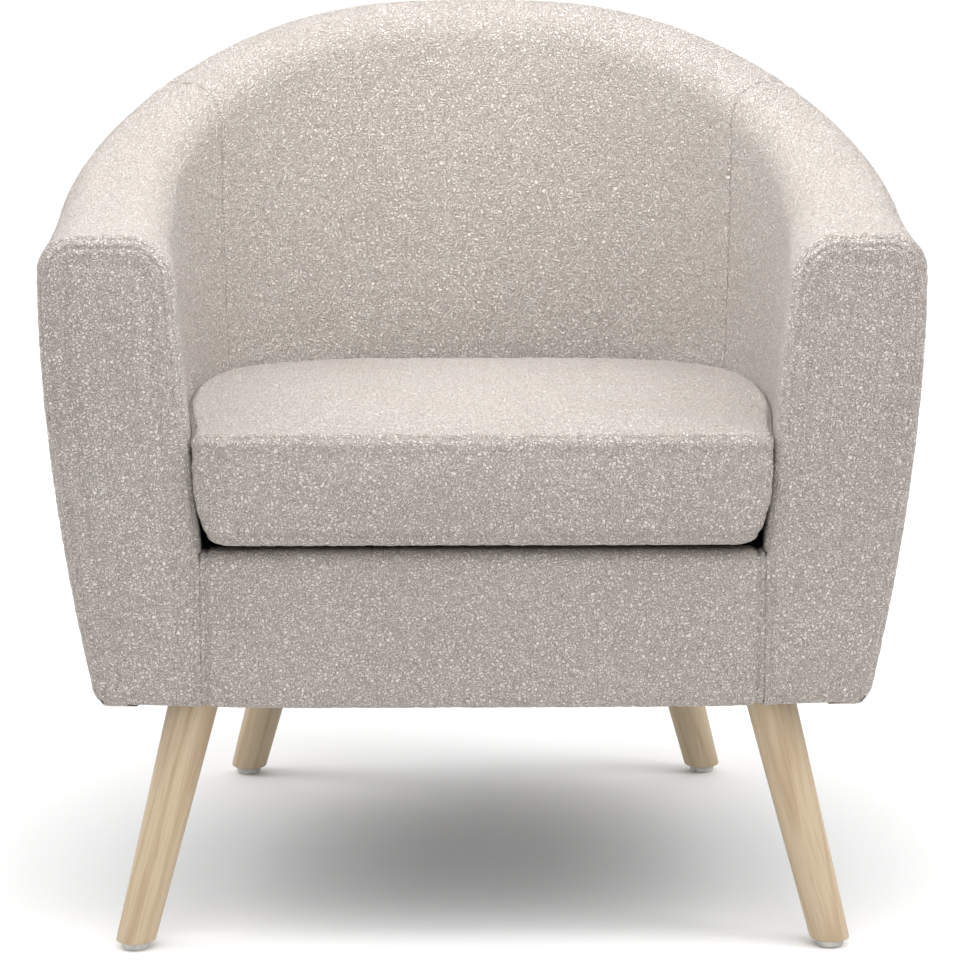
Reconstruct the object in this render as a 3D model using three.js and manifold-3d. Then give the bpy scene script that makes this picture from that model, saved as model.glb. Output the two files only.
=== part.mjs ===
// Upholstered tub armchair: a timber base ring and bent top rail carry boards, foam pads and a
// looped-pile cover. A loose seat cushion lies on a sprung deck, and four splayed legs are screwed
// into corner blocks.
// Millimetres, +Z up, the chair faces -Y. While it is built, y = 0 is the plane of the arm fronts;
// at the end the whole chair moves so that the origin is the bottom centre of its bounding box.
import * as THREE from "three";
import { mergeVertices } from "three/addons/utils/BufferGeometryUtils.js";
import Module from "manifold-3d";

const wasm = await Module();
wasm.setup();

// ---------------------------------------------------------------- driving dimensions: the body
const CHAIR_WIDTH = 698; // across the outsides of the arms
const CHAIR_DEPTH = 640; // arm fronts to the fullest point of the back
const ARM_HEIGHT = 577; // floor to the top of the arms, at their fronts
const BACK_HEIGHT = 712; // floor to the crest of the back
const UNDERSIDE_HEIGHT = 197; // floor to the lower edge of the body
const DECK_HEIGHT = 323; // floor to the seat deck, at its front
const DECK_FALL = 0.04; // fall of the deck for each mm towards the back
const ARM_THICKNESS = 103.4; // at the top of an arm's front
const SEAT_WAIST = 13; // each arm is this much thinner behind its front
const BACK_THICKNESS = 77.2; // at the crest of the back
const ARM_LEAN = 0.085; // the inside of an arm moves out by this for each mm of height
const BACK_LEAN = 0.2; // the inside of the back moves back by this for each mm of height
const SIDE_SHOULDER = 530; // the outside of the arms draws in below this height
const SIDE_TAPER = 40.5; // how far it has drawn in at the underside
const SIDE_BELLY = 1.8; // power of that curve: 1 is a straight slope
const BACK_SHOULDER = 650; // the same for the outside of the back
const BACK_TAPER = 65;
const BACK_BELLY = 1.3;
const LOWER_EDGE_RADIUS = 14; // rounding of the body's lower edge
const OUTER_TOP_RADIUS = 30; // rounding of the rim, outside
const INNER_TOP_RADIUS = 35; // rounding of the rim, inside
const ARM_STRAIGHT = 215; // straight length of an arm, inside and outside
const STRAIGHT_SHARE = 0.3; // share of the run from arm front to mid back that is straight
const OUTER_SQUARENESS = 2.25; // 2 is a round back in plan, more is squarer
const SEAT_SQUARENESS = 3.2; // the same for the inside, at the deck
const RIM_SQUARENESS = 2.3; // and at the rim
const RIM_START = 3.05; // how late the rim starts to rise behind the arms
const RIM_CREST = 3.6; // how flat it is again at the middle of the back
const ARM_BACK_SEAM = 0.59; // where the arm covers meet the back cover, on that same run

// ---------------------------------------------------------------- driving dimensions: materials
const FIT = 0.3; // gap between pieces that touch
const EASE = 1.4; // wider gap, where a straight timber meets a curved one or cloth meets a screw
const COVER = 2.5; // pile cover
const PAD = 24; // foam over the arms and back
const FRONT_PAD = 6; // foam over the arm fronts and the front rail
const BOARD = 3; // hardboard panels
const TIMBER = 18; // plywood posts and front rail
const RING_TIMBER = 20; // side, corner and rear rails of the base
const RAIL_WIDTH = 22; // bent top rail, across the wall
const RAIL_HEIGHT = 40; // and its height
const RAIL_INSET = 23; // outside of the wall to the bent top rail
const RAIL_DROP = 2; // pad over the bent top rail down to the rail
const POST_SHOULDER_DROP = 4; // foot of the rim's rounding down to the arm posts' shoulders
const CLOTH = 1.2; // deck cloth and dust cover
const WIRE = 3.8; // spring wire

// ---------------------------------------------------------------- driving dimensions: base and seat
const RING_INSET = 8; // outside of the body to the base ring, at its lower edge
const DUST_COVER_INSET = 12; // and to the dust cover
const BASE_CLEARANCE = 6; // underside of the body up to the base ring
const FRONT_RAIL_TOP = 304; // floor to the top of the front rail
const FRONT_ROLL_DEPTH = 34; // the front cover reaches this far back over the rail
const SIDE_RAIL_END = 0.36; // where a side rail meets the curved rear rail, on the plan run
const BACK_POST_RUN = 0.82; // where a back post stands, on the plan run
const BACK_POST_HALF = 0.022; // half a back post's width, on the plan run
const BACK_POST_THICK = 15;
const BLOCK_HEIGHT = 40;
const REAR_BLOCK_RUN = [0.65, 0.84]; // the rear corner blocks' reach along the rear rail
const DECK_LAP = 3; // the deck cloth lies over the ring by this
const BLOCK_REACH = 36; // a leg's screw to the free sides of its corner block
const SPRING_COUNT = 4;
const SPRING_FIRST = 95; // arm fronts to the first spring
const SPRING_PITCH = 88;
const SPRING_LOOP = 60; // length of one wave
const SPRING_SWING = 20; // half the width of a spring
const CUSHION_HEIGHT = 96; // at the seams
const CUSHION_PROUD = 8; // the cushion stands this far in front of the arms
const CUSHION_EASE = 2; // gap between the cushion and the covers around it
const CUSHION_EDGE = 8; // rounding of its edges
const ZIP_LENGTH = 190;
const ZIP_HEIGHT = 5;
const SLIDER_LENGTH = 9;
const SLIDER_THICK = 2.2;
const SLIDER_OVERHANG = 1; // the slider reaches this far past the zip, above and below
const BRIDGE_WIDTH = 5; // the loop on the slider that holds its pull tab
const BRIDGE_THICK = 1.4;
const BRIDGE_HEIGHT = 2;
const TAB_WIDTH = 4.5; // pull tab
const TAB_THICK = 1;
const TAB_LENGTH = 20;
const TAB_TOP = 2; // middle of the slider up to the top of its tab

// ---------------------------------------------------------------- driving dimensions: legs
const LEG_TOP_DIAMETER = 40;
const LEG_FOOT_DIAMETER = 31;
const FRONT_LEG_TOP = [118, 34]; // middle of a front leg's top: in from the side and from the front
const FRONT_SPLAY = [49, -38]; // from there to the middle of its foot: sideways and back
const REAR_LEG_RUN = 0.7315; // where a rear leg stands, on the plan run
const REAR_LEG_INSET = 41.5; // outside of the body to the middle of the leg's top
const REAR_SPLAY = [51, 45];
const GLIDE_HEIGHT = 6;
const GLIDE_DIAMETER = 22;
const GLIDE_EDGE = 1.5; // bevel round a glide's top, and a little more round its foot
const NAIL_DIAMETER = 2.6;
const NAIL_LENGTH = 13;
const NAIL_POINT = 3;
const SCREW_DIAMETER = 8;
const SCREW_IN_LEG = 38;
const SCREW_IN_BLOCK = 30;
const BORE_OVERRUN = 2; // a screw's bore goes this much deeper than the screw

// ---------------------------------------------------------------- worked out from those
const ARM_RISE = ARM_HEIGHT - DECK_HEIGHT;
const BACK_RISE = BACK_HEIGHT - DECK_HEIGHT;
const SEAT_WIDTH = CHAIR_WIDTH - 2 * (ARM_THICKNESS + ARM_LEAN * ARM_RISE); // at the deck
const SEAT_DEPTH = CHAIR_DEPTH - BACK_THICKNESS - BACK_LEAN * BACK_RISE;
const RING_FLOOR = UNDERSIDE_HEIGHT + BASE_CLEARANCE;
const POST_FRONT = COVER + FRONT_PAD + 2 * FIT;
const POST_BACK = POST_FRONT + TIMBER;
const PAD_DEPTH = COVER + FIT;
const PAD_UNDER = PAD_DEPTH + PAD;
const INNER_BOARD_DEPTH = PAD_UNDER + FIT;
const INNER_BOARD_UNDER = INNER_BOARD_DEPTH + BOARD;
const FRAME_INSET = PAD_DEPTH + BOARD + 2 * FIT;
const SPRING_DROP = CLOTH + 2 * FIT + DECK_FALL * SPRING_SWING;
const DECK_TILT = Math.atan(DECK_FALL);
const LEG_TOP_HEIGHT = RING_FLOOR - CLOTH - 2 * FIT;

// ---------------------------------------------------------------- finishes
const finish = (color, roughness, metalness = 0) =>
  new THREE.MeshStandardMaterial({ color, roughness, metalness });
const PILE = finish(0xd8ccc0, 0.95);
const FOAM = finish(0xe9e2c4, 0.95);
const HARDBOARD = finish(0x8a6a48, 0.8);
const PLYWOOD = finish(0xc9a877, 0.7);
const LEG_WOOD = finish(0xd9bd92, 0.5);
const BLACK_CLOTH = finish(0x1b1b1c, 0.95);
const STEEL = finish(0x9a9da0, 0.4, 1);
const GLIDE_PLASTIC = finish(0xcfcfcd, 0.5);
const ZIP_TAPE = finish(0xd9cfc3, 0.8);

const chair = new THREE.Group();

// ---------------------------------------------------------------- geometry helpers
const lerp = THREE.MathUtils.lerp;
const clamp = THREE.MathUtils.clamp;

// Merges a geometry's shared corners and turns its faces outwards.
function closed(geometry) {
  const bare = geometry.clone();
  bare.deleteAttribute("normal");
  bare.deleteAttribute("uv");
  const merged = mergeVertices(bare, 1e-4);
  const at = merged.getAttribute("position");
  const index = merged.index.array;
  const [a, b, c] = [new THREE.Vector3(), new THREE.Vector3(), new THREE.Vector3()];
  let volume = 0;
  for (let i = 0; i < index.length; i += 3) {
    a.fromBufferAttribute(at, index[i]);
    b.fromBufferAttribute(at, index[i + 1]);
    c.fromBufferAttribute(at, index[i + 2]);
    volume += a.dot(b.cross(c));
  }
  if (volume < 0) index.reverse();
  return merged;
}

// A cylinder or cone along +Z, whose seam is merged before anything turns it.
function cylinder(topRadius, bottomRadius, height, sides) {
  const upright = new THREE.CylinderGeometry(topRadius, bottomRadius, height, sides);
  return closed(upright).rotateX(Math.PI / 2);
}

// A closed geometry as a solid that can be joined and cut.
function solid(geometry) {
  const mesh = closed(geometry);
  return new wasm.Manifold(
    new wasm.Mesh({
      numProp: 3,
      vertProperties: new Float32Array(mesh.getAttribute("position").array),
      triVerts: new Uint32Array(mesh.index.array),
    }),
  );
}

// A solid back as a geometry.
function geometryOf(shape) {
  const mesh = shape.getMesh();
  return new THREE.BufferGeometry()
    .setAttribute("position", new THREE.BufferAttribute(mesh.vertProperties, 3))
    .setIndex(new THREE.BufferAttribute(mesh.triVerts, 1));
}

// Names a piece and adds it to the chair.
function piece(name, geometry, material) {
  const mesh = new THREE.Mesh(closed(geometry), material);
  mesh.name = name;
  chair.add(mesh);
  return mesh;
}

// A box whose corners are moved: place(i, j, k) gives the point of grid corner i, j, k.
function warpedBox(columns, layers, rows, place) {
  const box = new THREE.BoxGeometry(1, 1, 1, columns, layers, rows);
  const at = box.getAttribute("position");
  for (let n = 0; n < at.count; n++) {
    const i = Math.round((at.getX(n) + 0.5) * columns);
    const j = Math.round((at.getY(n) + 0.5) * layers);
    const k = Math.round((at.getZ(n) + 0.5) * rows);
    at.setXYZ(n, ...place(i, j, k));
  }
  return box;
}

// A straight timber between two four-cornered ends, whose corners go round in the same order.
function timber(start, end) {
  const corner = [
    [0, 3],
    [1, 2],
  ];
  return warpedBox(1, 1, 1, (i, j, k) => (k ? end : start)[corner[i][j]]);
}

// A plate: a plan outline of [x, y] points between the heights that bottom(y) and top(y) give.
function plate(outline, bottom, top) {
  const shape = new THREE.Shape(outline.map(([x, y]) => new THREE.Vector2(x, y)));
  const flat = new THREE.ExtrudeGeometry(shape, { depth: 1, bevelEnabled: false });
  const at = flat.getAttribute("position");
  for (let n = 0; n < at.count; n++) {
    at.setZ(n, (at.getZ(n) > 0.5 ? top : bottom)(at.getY(n)));
  }
  return flat;
}

// An upright panel: an outline of [x, z] points between two values of y.
function panel(outline, front, back) {
  const shape = new THREE.Shape(outline.map(([x, z]) => new THREE.Vector2(x, z)));
  return new THREE.ExtrudeGeometry(shape, { depth: back - front, bevelEnabled: false })
    .rotateX(Math.PI / 2)
    .translate(0, back, 0);
}

// A rail of constant section, an outline of [y, z] points, between two values of x.
function rail(outline, left, right) {
  const shape = new THREE.Shape(outline.map(([y, z]) => new THREE.Vector2(y, z)));
  return new THREE.ExtrudeGeometry(shape, { depth: right - left, bevelEnabled: false })
    .rotateX(Math.PI / 2)
    .rotateZ(Math.PI / 2)
    .translate(left, 0, 0);
}

// ---------------------------------------------------------------- the tub's two faces
// Places on the tub are given by a run s from 0 at the right arm front, 1 at the middle of the
// back, to 2 at the left arm front.
const deckAt = (y) => DECK_HEIGHT - DECK_FALL * y;
const runOf = (s) => (s <= 1 ? s : 2 - s);
const sideOf = (s) => (s <= 1 ? 1 : -1);

// One point of a U-shaped plan.
function planPoint(t, frontHalf, midHalf, straight, depth, squareness) {
  if (t <= STRAIGHT_SHARE) {
    const along = t / STRAIGHT_SHARE;
    const ease = THREE.MathUtils.smoothstep(along, 0, 1);
    return [lerp(frontHalf, midHalf, ease), straight * along];
  }
  const angle = (((t - STRAIGHT_SHARE) / (1 - STRAIGHT_SHARE)) * Math.PI) / 2;
  const cos = Math.abs(Math.cos(angle));
  const sin = Math.sin(angle);
  const reach = (cos ** squareness + sin ** squareness) ** (-1 / squareness);
  return [midHalf * reach * cos, straight + (depth - straight) * reach * sin];
}

// How far the outside has drawn in at height z, below a shoulder.
function drawnIn(z, shoulder, taper, belly) {
  const below = clamp((shoulder - z) / (shoulder - UNDERSIDE_HEIGHT), 0, 1);
  const foot = clamp(UNDERSIDE_HEIGHT + LOWER_EDGE_RADIUS - z, 0, LOWER_EDGE_RADIUS);
  const rounding = LOWER_EDGE_RADIUS - Math.sqrt(LOWER_EDGE_RADIUS ** 2 - foot ** 2);
  return taper * below ** belly + rounding;
}

function outerFace(t, z) {
  const half = CHAIR_WIDTH / 2 - drawnIn(z, SIDE_SHOULDER, SIDE_TAPER, SIDE_BELLY);
  const depth = CHAIR_DEPTH - drawnIn(z, BACK_SHOULDER, BACK_TAPER, BACK_BELLY);
  return planPoint(t, half, half, ARM_STRAIGHT, depth, OUTER_SQUARENESS);
}

function innerFace(t, z) {
  const rise = Math.max(0, z - DECK_HEIGHT);
  const half = SEAT_WIDTH / 2 + ARM_LEAN * rise;
  const share = clamp((rise - CUSHION_HEIGHT) / (BACK_RISE - CUSHION_HEIGHT), 0, 1);
  const squareness = lerp(SEAT_SQUARENESS, RIM_SQUARENESS, share);
  const depth = SEAT_DEPTH + BACK_LEAN * rise;
  return planPoint(t, half, half + SEAT_WAIST, ARM_STRAIGHT, depth, squareness);
}

// Thickness of the wall, across it.
function wallAt(t, z) {
  const [ox, oy] = outerFace(t, z);
  const [ix, iy] = innerFace(t, z);
  return Math.hypot(ix - ox, iy - oy);
}

// A point inside the wall, a distance c in from its outer face.
function wallPoint(s, c, z) {
  const t = runOf(s);
  const [ox, oy] = outerFace(t, z);
  const [ix, iy] = innerFace(t, z);
  const share = c / Math.hypot(ix - ox, iy - oy);
  return [sideOf(s) * lerp(ox, ix, share), lerp(oy, iy, share), z];
}

// Height of the rim along the run.
function rimAt(t) {
  const rise = 1 - (1 - t ** RIM_START) ** RIM_CREST;
  return lerp(ARM_HEIGHT, BACK_HEIGHT, rise);
}

// A point of the upholstered profile. q is 0 to 1 up the outside, 1 to 2 round the outer edge of
// the rim, 2 to 3 across its top, 3 to 4 round its inner edge and 4 to 5 down the inside.
// depth is how far under the surface the point lies.
function profilePoint(s, q, depth) {
  const t = runOf(s);
  const rim = rimAt(t);
  if (q <= 1) return wallPoint(s, depth, lerp(UNDERSIDE_HEIGHT, rim - OUTER_TOP_RADIUS, q));
  if (q <= 2) {
    const turn = ((q - 1) * Math.PI) / 2;
    const radius = OUTER_TOP_RADIUS - depth;
    const z = rim - OUTER_TOP_RADIUS + radius * Math.sin(turn);
    return wallPoint(s, OUTER_TOP_RADIUS - radius * Math.cos(turn), z);
  }
  if (q <= 3) {
    const z = rim - depth;
    const far = wallAt(t, z) - INNER_TOP_RADIUS;
    return wallPoint(s, lerp(OUTER_TOP_RADIUS, far, q - 2), z);
  }
  if (q <= 4) {
    const turn = ((q - 3) * Math.PI) / 2;
    const radius = INNER_TOP_RADIUS - depth;
    const z = rim - INNER_TOP_RADIUS + radius * Math.cos(turn);
    return wallPoint(s, wallAt(t, z) - INNER_TOP_RADIUS + radius * Math.sin(turn), z);
  }
  const floor = deckAt(innerFace(t, DECK_HEIGHT)[1]) + FIT;
  const z = lerp(rim - INNER_TOP_RADIUS, floor, q - 4);
  return wallPoint(s, wallAt(t, z) - depth, z);
}

// ---------------------------------------------------------------- stations along and round the wall
const ALONG_ARM = [0.1, 0.2, 0.3, 0.36, 0.42, 0.48, 0.54];
const ALONG_BACK = [0.65, 0.71, 0.77, 0.83, 0.89, 0.945];
const OUTSIDE = [0, 0.01, 0.02, 0.035, 0.2, 0.4, 0.6, 0.8, 1];
const OVER_RIM = [1.34, 1.67, 2, 3, 3.34, 3.67];
const INSIDE = [4, 4.5, 5];
const runAt = (y) => (STRAIGHT_SHARE * y) / ARM_STRAIGHT;
const SEAM_GAP = 0.0009; // half the gap between arm and back pieces, on the run

// Stations of one arm's pieces, from y = start back to the seam.
function armRun(side, start) {
  const right = [runAt(start), ...ALONG_ARM, ARM_BACK_SEAM - SEAM_GAP];
  return side > 0 ? right : right.map((s) => 2 - s);
}

// Stations of the back's pieces, from seam to seam.
function backRun() {
  const half = [ARM_BACK_SEAM + SEAM_GAP, ...ALONG_BACK];
  return [...half, 1, ...half.map((s) => 2 - s).reverse()];
}

// A layer of the upholstered wall between two depths. A box splits its opposite faces along
// opposite diagonals, so each layer is turned over against its neighbours: then the faces that
// meet are split the same way.
function layer(run, round, outerDepth, innerDepth, turned = false) {
  const rows = round.length - 1;
  return warpedBox(run.length - 1, 1, rows, (i, j, k) =>
    profilePoint(run[i], round[turned ? rows - k : k], j ? innerDepth : outerDepth),
  );
}

// ---------------------------------------------------------------- covers, pads and boards of the tub
const SIDES = [
  ["left", -1],
  ["right", 1],
];
const ROUND_OUTSIDE = [...OUTSIDE.slice(0, -1), 0.998];
const ROUND_INSIDE = [1, ...OVER_RIM, ...INSIDE];
const ROUND_PAD = [...OVER_RIM, ...INSIDE];

function makeWall() {
  const back = backRun();
  for (const [hand, side] of SIDES) {
    const skin = armRun(side, COVER + FIT);
    const core = armRun(side, POST_FRONT);
    piece("outside_arm_cover_" + hand, layer(skin, ROUND_OUTSIDE, 0, COVER), PILE);
    piece("inside_arm_cover_" + hand, layer(skin, ROUND_INSIDE, 0, COVER), PILE);
    piece("arm_pad_" + hand, layer(core, ROUND_PAD, PAD_DEPTH, PAD_UNDER, true), FOAM);
    piece("arm_outer_board_" + hand, outerBoard(core), HARDBOARD);
    piece("arm_inner_board_" + hand, innerBoard(core), HARDBOARD);
  }
  piece("outside_back_cover", layer(back, ROUND_OUTSIDE, 0, COVER), PILE);
  piece("inside_back_cover", layer(back, ROUND_INSIDE, 0, COVER), PILE);
  piece("back_pad", layer(back, ROUND_PAD, PAD_DEPTH, PAD_UNDER, true), FOAM);
  piece("back_outer_board", outerBoard(back), HARDBOARD);
  piece("back_inner_board", innerBoard(back), HARDBOARD);
}

function outerBoard(run) {
  return layer(run, ROUND_OUTSIDE.slice(1), PAD_DEPTH, PAD_DEPTH + BOARD, true);
}

function innerBoard(run) {
  return layer(run, INSIDE, INNER_BOARD_DEPTH, INNER_BOARD_UNDER);
}

// The outline of an arm's front, a depth under its surface, as [x, z] points.
function armFrontOutline(side, depth, firstStation) {
  const s = side > 0 ? 0 : 2;
  const round = [...OUTSIDE.slice(firstStation), ...OVER_RIM, ...INSIDE];
  const points = round.map((q) => profilePoint(s, q, depth));
  const corner = [points.at(-1)[0], 0, points[0][2]];
  return [...points, corner].map(([x, , z]) => [x, z]);
}

// An arm's front post: a plywood panel inside the boards and pads, with a shoulder under the
// rim's pad.
function armPostOutline(side) {
  const s = side > 0 ? 0 : 2;
  const outside = OUTSIDE.slice(3, -1).map((q) => profilePoint(s, q, FRAME_INSET));
  const shoulder = ARM_HEIGHT - OUTER_TOP_RADIUS - POST_SHOULDER_DROP;
  const top = ARM_HEIGHT - INNER_BOARD_DEPTH - RAIL_DROP;
  const edge = INNER_BOARD_UNDER + EASE;
  const floor = outside[0][2];
  const inside = [top - PAD / 2, DECK_HEIGHT, floor].map((z) => wallPoint(s, wallAt(0, z) - edge, z));
  const crown = [
    wallPoint(s, FRAME_INSET, shoulder),
    wallPoint(s, INNER_BOARD_DEPTH, shoulder),
    wallPoint(s, INNER_BOARD_DEPTH, top),
    wallPoint(s, wallAt(0, top) - edge - PAD / 2, top),
  ];
  return [...outside, ...crown, ...inside].map(([x, , z]) => [x, z]);
}

function makeArmFronts() {
  for (const [hand, side] of SIDES) {
    const skin = armFrontOutline(side, 0, 0);
    const pad = armFrontOutline(side, PAD_DEPTH, 1);
    const post = armPostOutline(side);
    piece("arm_front_cover_" + hand, panel(skin, 0, COVER), PILE);
    piece("arm_front_pad_" + hand, panel(pad, COVER + FIT, COVER + FIT + FRONT_PAD), FOAM);
    piece("arm_post_" + hand, panel(post, POST_FRONT, POST_BACK), PLYWOOD);
  }
}

// ---------------------------------------------------------------- bent top rail and back posts
const railTop = (t) => rimAt(t) - INNER_BOARD_DEPTH - RAIL_DROP;

function topRail(run) {
  return warpedBox(run.length - 1, 1, 1, (i, j, k) => {
    const z = railTop(runOf(run[i])) - (k ? 0 : RAIL_HEIGHT);
    return wallPoint(run[i], RAIL_INSET + (j ? RAIL_WIDTH : 0), z);
  });
}

function makeTopRails() {
  for (const [hand, side] of SIDES) {
    piece("arm_top_rail_" + hand, topRail(armRun(side, POST_BACK + FIT)), PLYWOOD);
  }
  piece("back_top_rail", topRail(backRun()), PLYWOOD);
}

// ---------------------------------------------------------------- base ring
const mirrored = (points) => points.map(([x, y, ...rest]) => [-x, y, ...rest]);
const ringTop = (y) => deckAt(y) - SPRING_DROP - WIRE - FIT;
const ringPoint = (s, inset) => wallPoint(s, RING_INSET + inset, RING_FLOOR);

// A side rail's plan: its outer edge, then its inner edge.
function sideRailPlan(grow = 0) {
  const ends = [runAt(POST_BACK + FIT), SIDE_RAIL_END - SEAM_GAP];
  const outer = ends.map((s) => ringPoint(s, 0).slice(0, 2));
  const inner = ends.map((s) => ringPoint(s, RING_TIMBER + grow).slice(0, 2));
  return [...outer, ...inner.reverse()];
}

function makeBaseRing() {
  for (const [hand, side] of SIDES) {
    const plan = side > 0 ? sideRailPlan() : mirrored(sideRailPlan());
    piece("side_rail_" + hand, plate(plan, () => RING_FLOOR, ringTop), PLYWOOD);
  }
  const half = [SIDE_RAIL_END + SEAM_GAP, ...ALONG_ARM.slice(4), ARM_BACK_SEAM, ...ALONG_BACK];
  const run = [...half, 1, ...half.map((s) => 2 - s).reverse()];
  const rear = warpedBox(run.length - 1, 1, 1, (i, j, k) => {
    const [x, y] = ringPoint(run[i], j ? RING_TIMBER : 0);
    return [x, y, k ? ringTop(y) : RING_FLOOR];
  });
  piece("rear_rail", rear, PLYWOOD);
  const reach = SEAT_WIDTH / 2 + INNER_BOARD_UNDER;
  const section = [
    [POST_FRONT, RING_FLOOR],
    [POST_BACK, RING_FLOOR],
    [POST_BACK, FRONT_RAIL_TOP],
    [POST_FRONT, FRONT_RAIL_TOP],
  ];
  piece("front_rail", rail(section, -reach, reach), PLYWOOD);
}

// A straight post from the rear rail up to the bent top rail.
function makeBackPosts() {
  const [from, to] = [BACK_POST_RUN - BACK_POST_HALF, BACK_POST_RUN + BACK_POST_HALF];
  const ends = (inset, z, planHeight) => {
    const corners = [
      [from, inset],
      [to, inset],
      [to, inset + BACK_POST_THICK],
      [from, inset + BACK_POST_THICK],
    ];
    return corners.map(([s, c]) => [...wallPoint(s, c, planHeight).slice(0, 2), z]);
  };
  const [, innerY] = ringPoint(from, RING_TIMBER);
  const head = railTop(from) - RAIL_HEIGHT - EASE;
  const lower = ends(RING_INSET + FIT, ringTop(innerY) + FIT, RING_FLOOR);
  const upper = ends(RAIL_INSET + (RAIL_WIDTH - BACK_POST_THICK) / 2, head, head);
  for (const [hand, side] of SIDES) {
    const post = side > 0 ? timber(lower, upper) : timber(mirrored(lower), mirrored(upper));
    piece("back_post_" + hand, post, PLYWOOD);
  }
}

// ---------------------------------------------------------------- front rail's pad and cover
// An angle section: down the front of the rail and back over its top, under the deck's plane.
function angleSection(front, foot, drop, thick, roof, reach) {
  return [
    [front, foot],
    [front + thick, foot],
    [front + thick, deckAt(front + thick) - drop - roof],
    [reach, deckAt(reach) - drop - roof],
    [reach, deckAt(reach) - drop],
    [front, deckAt(front) - drop],
  ];
}

function makeFrontRailTrim() {
  const half = SEAT_WIDTH / 2 - FIT;
  const reach = FRONT_ROLL_DEPTH - COVER;
  const roof = deckAt(reach) - COVER - FIT - FRONT_RAIL_TOP - FIT;
  const cover = angleSection(0, UNDERSIDE_HEIGHT, 0, COVER, COVER, FRONT_ROLL_DEPTH);
  const pad = angleSection(COVER + FIT, RING_FLOOR, COVER + FIT, FRONT_PAD, roof, reach);
  piece("front_rail_cover", rail(cover, -half, half), PILE);
  piece("front_rail_pad", rail(pad, -half, half), FOAM);
}

// ---------------------------------------------------------------- deck: springs, cloth, dust cover
class SinuousWire extends THREE.Curve {
  constructor(half, y, z) {
    super();
    Object.assign(this, { half, y, z });
  }
  getPoint(t) {
    const x = lerp(-this.half, this.half, t);
    const fade = clamp((this.half - Math.abs(x)) / SPRING_LOOP, 0, 1);
    const wave = SPRING_SWING * fade * Math.sin((2 * Math.PI * x) / SPRING_LOOP);
    return new THREE.Vector3(x, this.y + wave, this.z);
  }
}

// Half the distance between the middles of the ring's sides at y.
function ringHalf(y) {
  let [near, far] = [0, 1];
  for (let step = 0; step < 20; step++) {
    const middle = (near + far) / 2;
    if (ringPoint(middle, RING_TIMBER / 2)[1] < y) near = middle;
    else far = middle;
  }
  return ringPoint(near, RING_TIMBER / 2)[0];
}

function makeSprings() {
  const section = new THREE.Shape();
  section.absarc(0, 0, WIRE / 2, 0, 2 * Math.PI);
  for (let n = 0; n < SPRING_COUNT; n++) {
    const y = SPRING_FIRST + n * SPRING_PITCH;
    const half = ringHalf(y);
    const path = new SinuousWire(half, y, deckAt(y) - SPRING_DROP - WIRE / 2);
    const steps = 6 * Math.round((2 * half) / SPRING_LOOP);
    const wire = { steps, extrudePath: path, curveSegments: 2, bevelEnabled: false };
    piece("seat_spring_" + (n + 1), new THREE.ExtrudeGeometry(section, wire), STEEL);
  }
}

// The D-shaped plan inside the ring, from y = front back, a distance in from the body's outside.
function insideRing(front, inset) {
  const run = [runAt(front), ...ALONG_ARM, ARM_BACK_SEAM, ...ALONG_BACK];
  const right = run.map((s) => wallPoint(s, inset, RING_FLOOR).slice(0, 2));
  return [...right, ...mirrored(right).reverse()];
}

function makeDeckCloth() {
  const outline = insideRing(FRONT_ROLL_DEPTH + FIT, RING_INSET + RING_TIMBER - DECK_LAP);
  const cloth = plate(outline, (y) => deckAt(y) - CLOTH, deckAt);
  piece("deck_cloth", cloth, BLACK_CLOTH);
}

function makeDustCover() {
  const outline = insideRing(POST_FRONT, DUST_COVER_INSET);
  const sheet = plate(outline, () => RING_FLOOR - CLOTH - FIT, () => RING_FLOOR - FIT);
  let cloth = solid(sheet);
  for (const leg of LEGS) cloth = cloth.subtract(legBore(leg, SCREW_DIAMETER / 2 + EASE));
  piece("dust_cover", geometryOf(cloth), BLACK_CLOTH);
}

// ---------------------------------------------------------------- legs
const splayed = ([x, y], [out, back]) => ({ top: [x, y], foot: [x + out, y + back] });
const FRONT_LEG = splayed([CHAIR_WIDTH / 2 - FRONT_LEG_TOP[0], FRONT_LEG_TOP[1]], FRONT_SPLAY);
const REAR_LEG = splayed(wallPoint(REAR_LEG_RUN, REAR_LEG_INSET, RING_FLOOR), REAR_SPLAY);
const LEGS = [
  { name: "front_left", side: -1, ...FRONT_LEG },
  { name: "front_right", side: 1, ...FRONT_LEG },
  { name: "rear_left", side: -1, ...REAR_LEG },
  { name: "rear_right", side: 1, ...REAR_LEG },
];

// The middle of a leg's foot, the middle of its top and the direction from one to the other.
function legAxis({ side, foot, top }) {
  const low = new THREE.Vector3(side * foot[0], foot[1], GLIDE_HEIGHT + FIT);
  const high = new THREE.Vector3(side * top[0], top[1], LEG_TOP_HEIGHT);
  return { low, high, direction: high.clone().sub(low).normalize() };
}

// A cylinder or cone on a leg's axis, between two distances from the middle of its top.
function onLegAxis(leg, from, to, fromRadius, toRadius, sides) {
  const { high, direction } = legAxis(leg);
  const turn = new THREE.Quaternion().setFromUnitVectors(new THREE.Vector3(0, 0, 1), direction);
  const middle = high.clone().addScaledVector(direction, (from + to) / 2);
  return cylinder(toRadius, fromRadius, to - from, sides)
    .applyQuaternion(turn)
    .translate(middle.x, middle.y, middle.z);
}

function legBore(leg, radius) {
  const far = SCREW_IN_BLOCK + BORE_OVERRUN;
  const bore = onLegAxis(leg, -SCREW_IN_LEG - BORE_OVERRUN, far, radius, radius, 16);
  return solid(bore);
}

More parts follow.
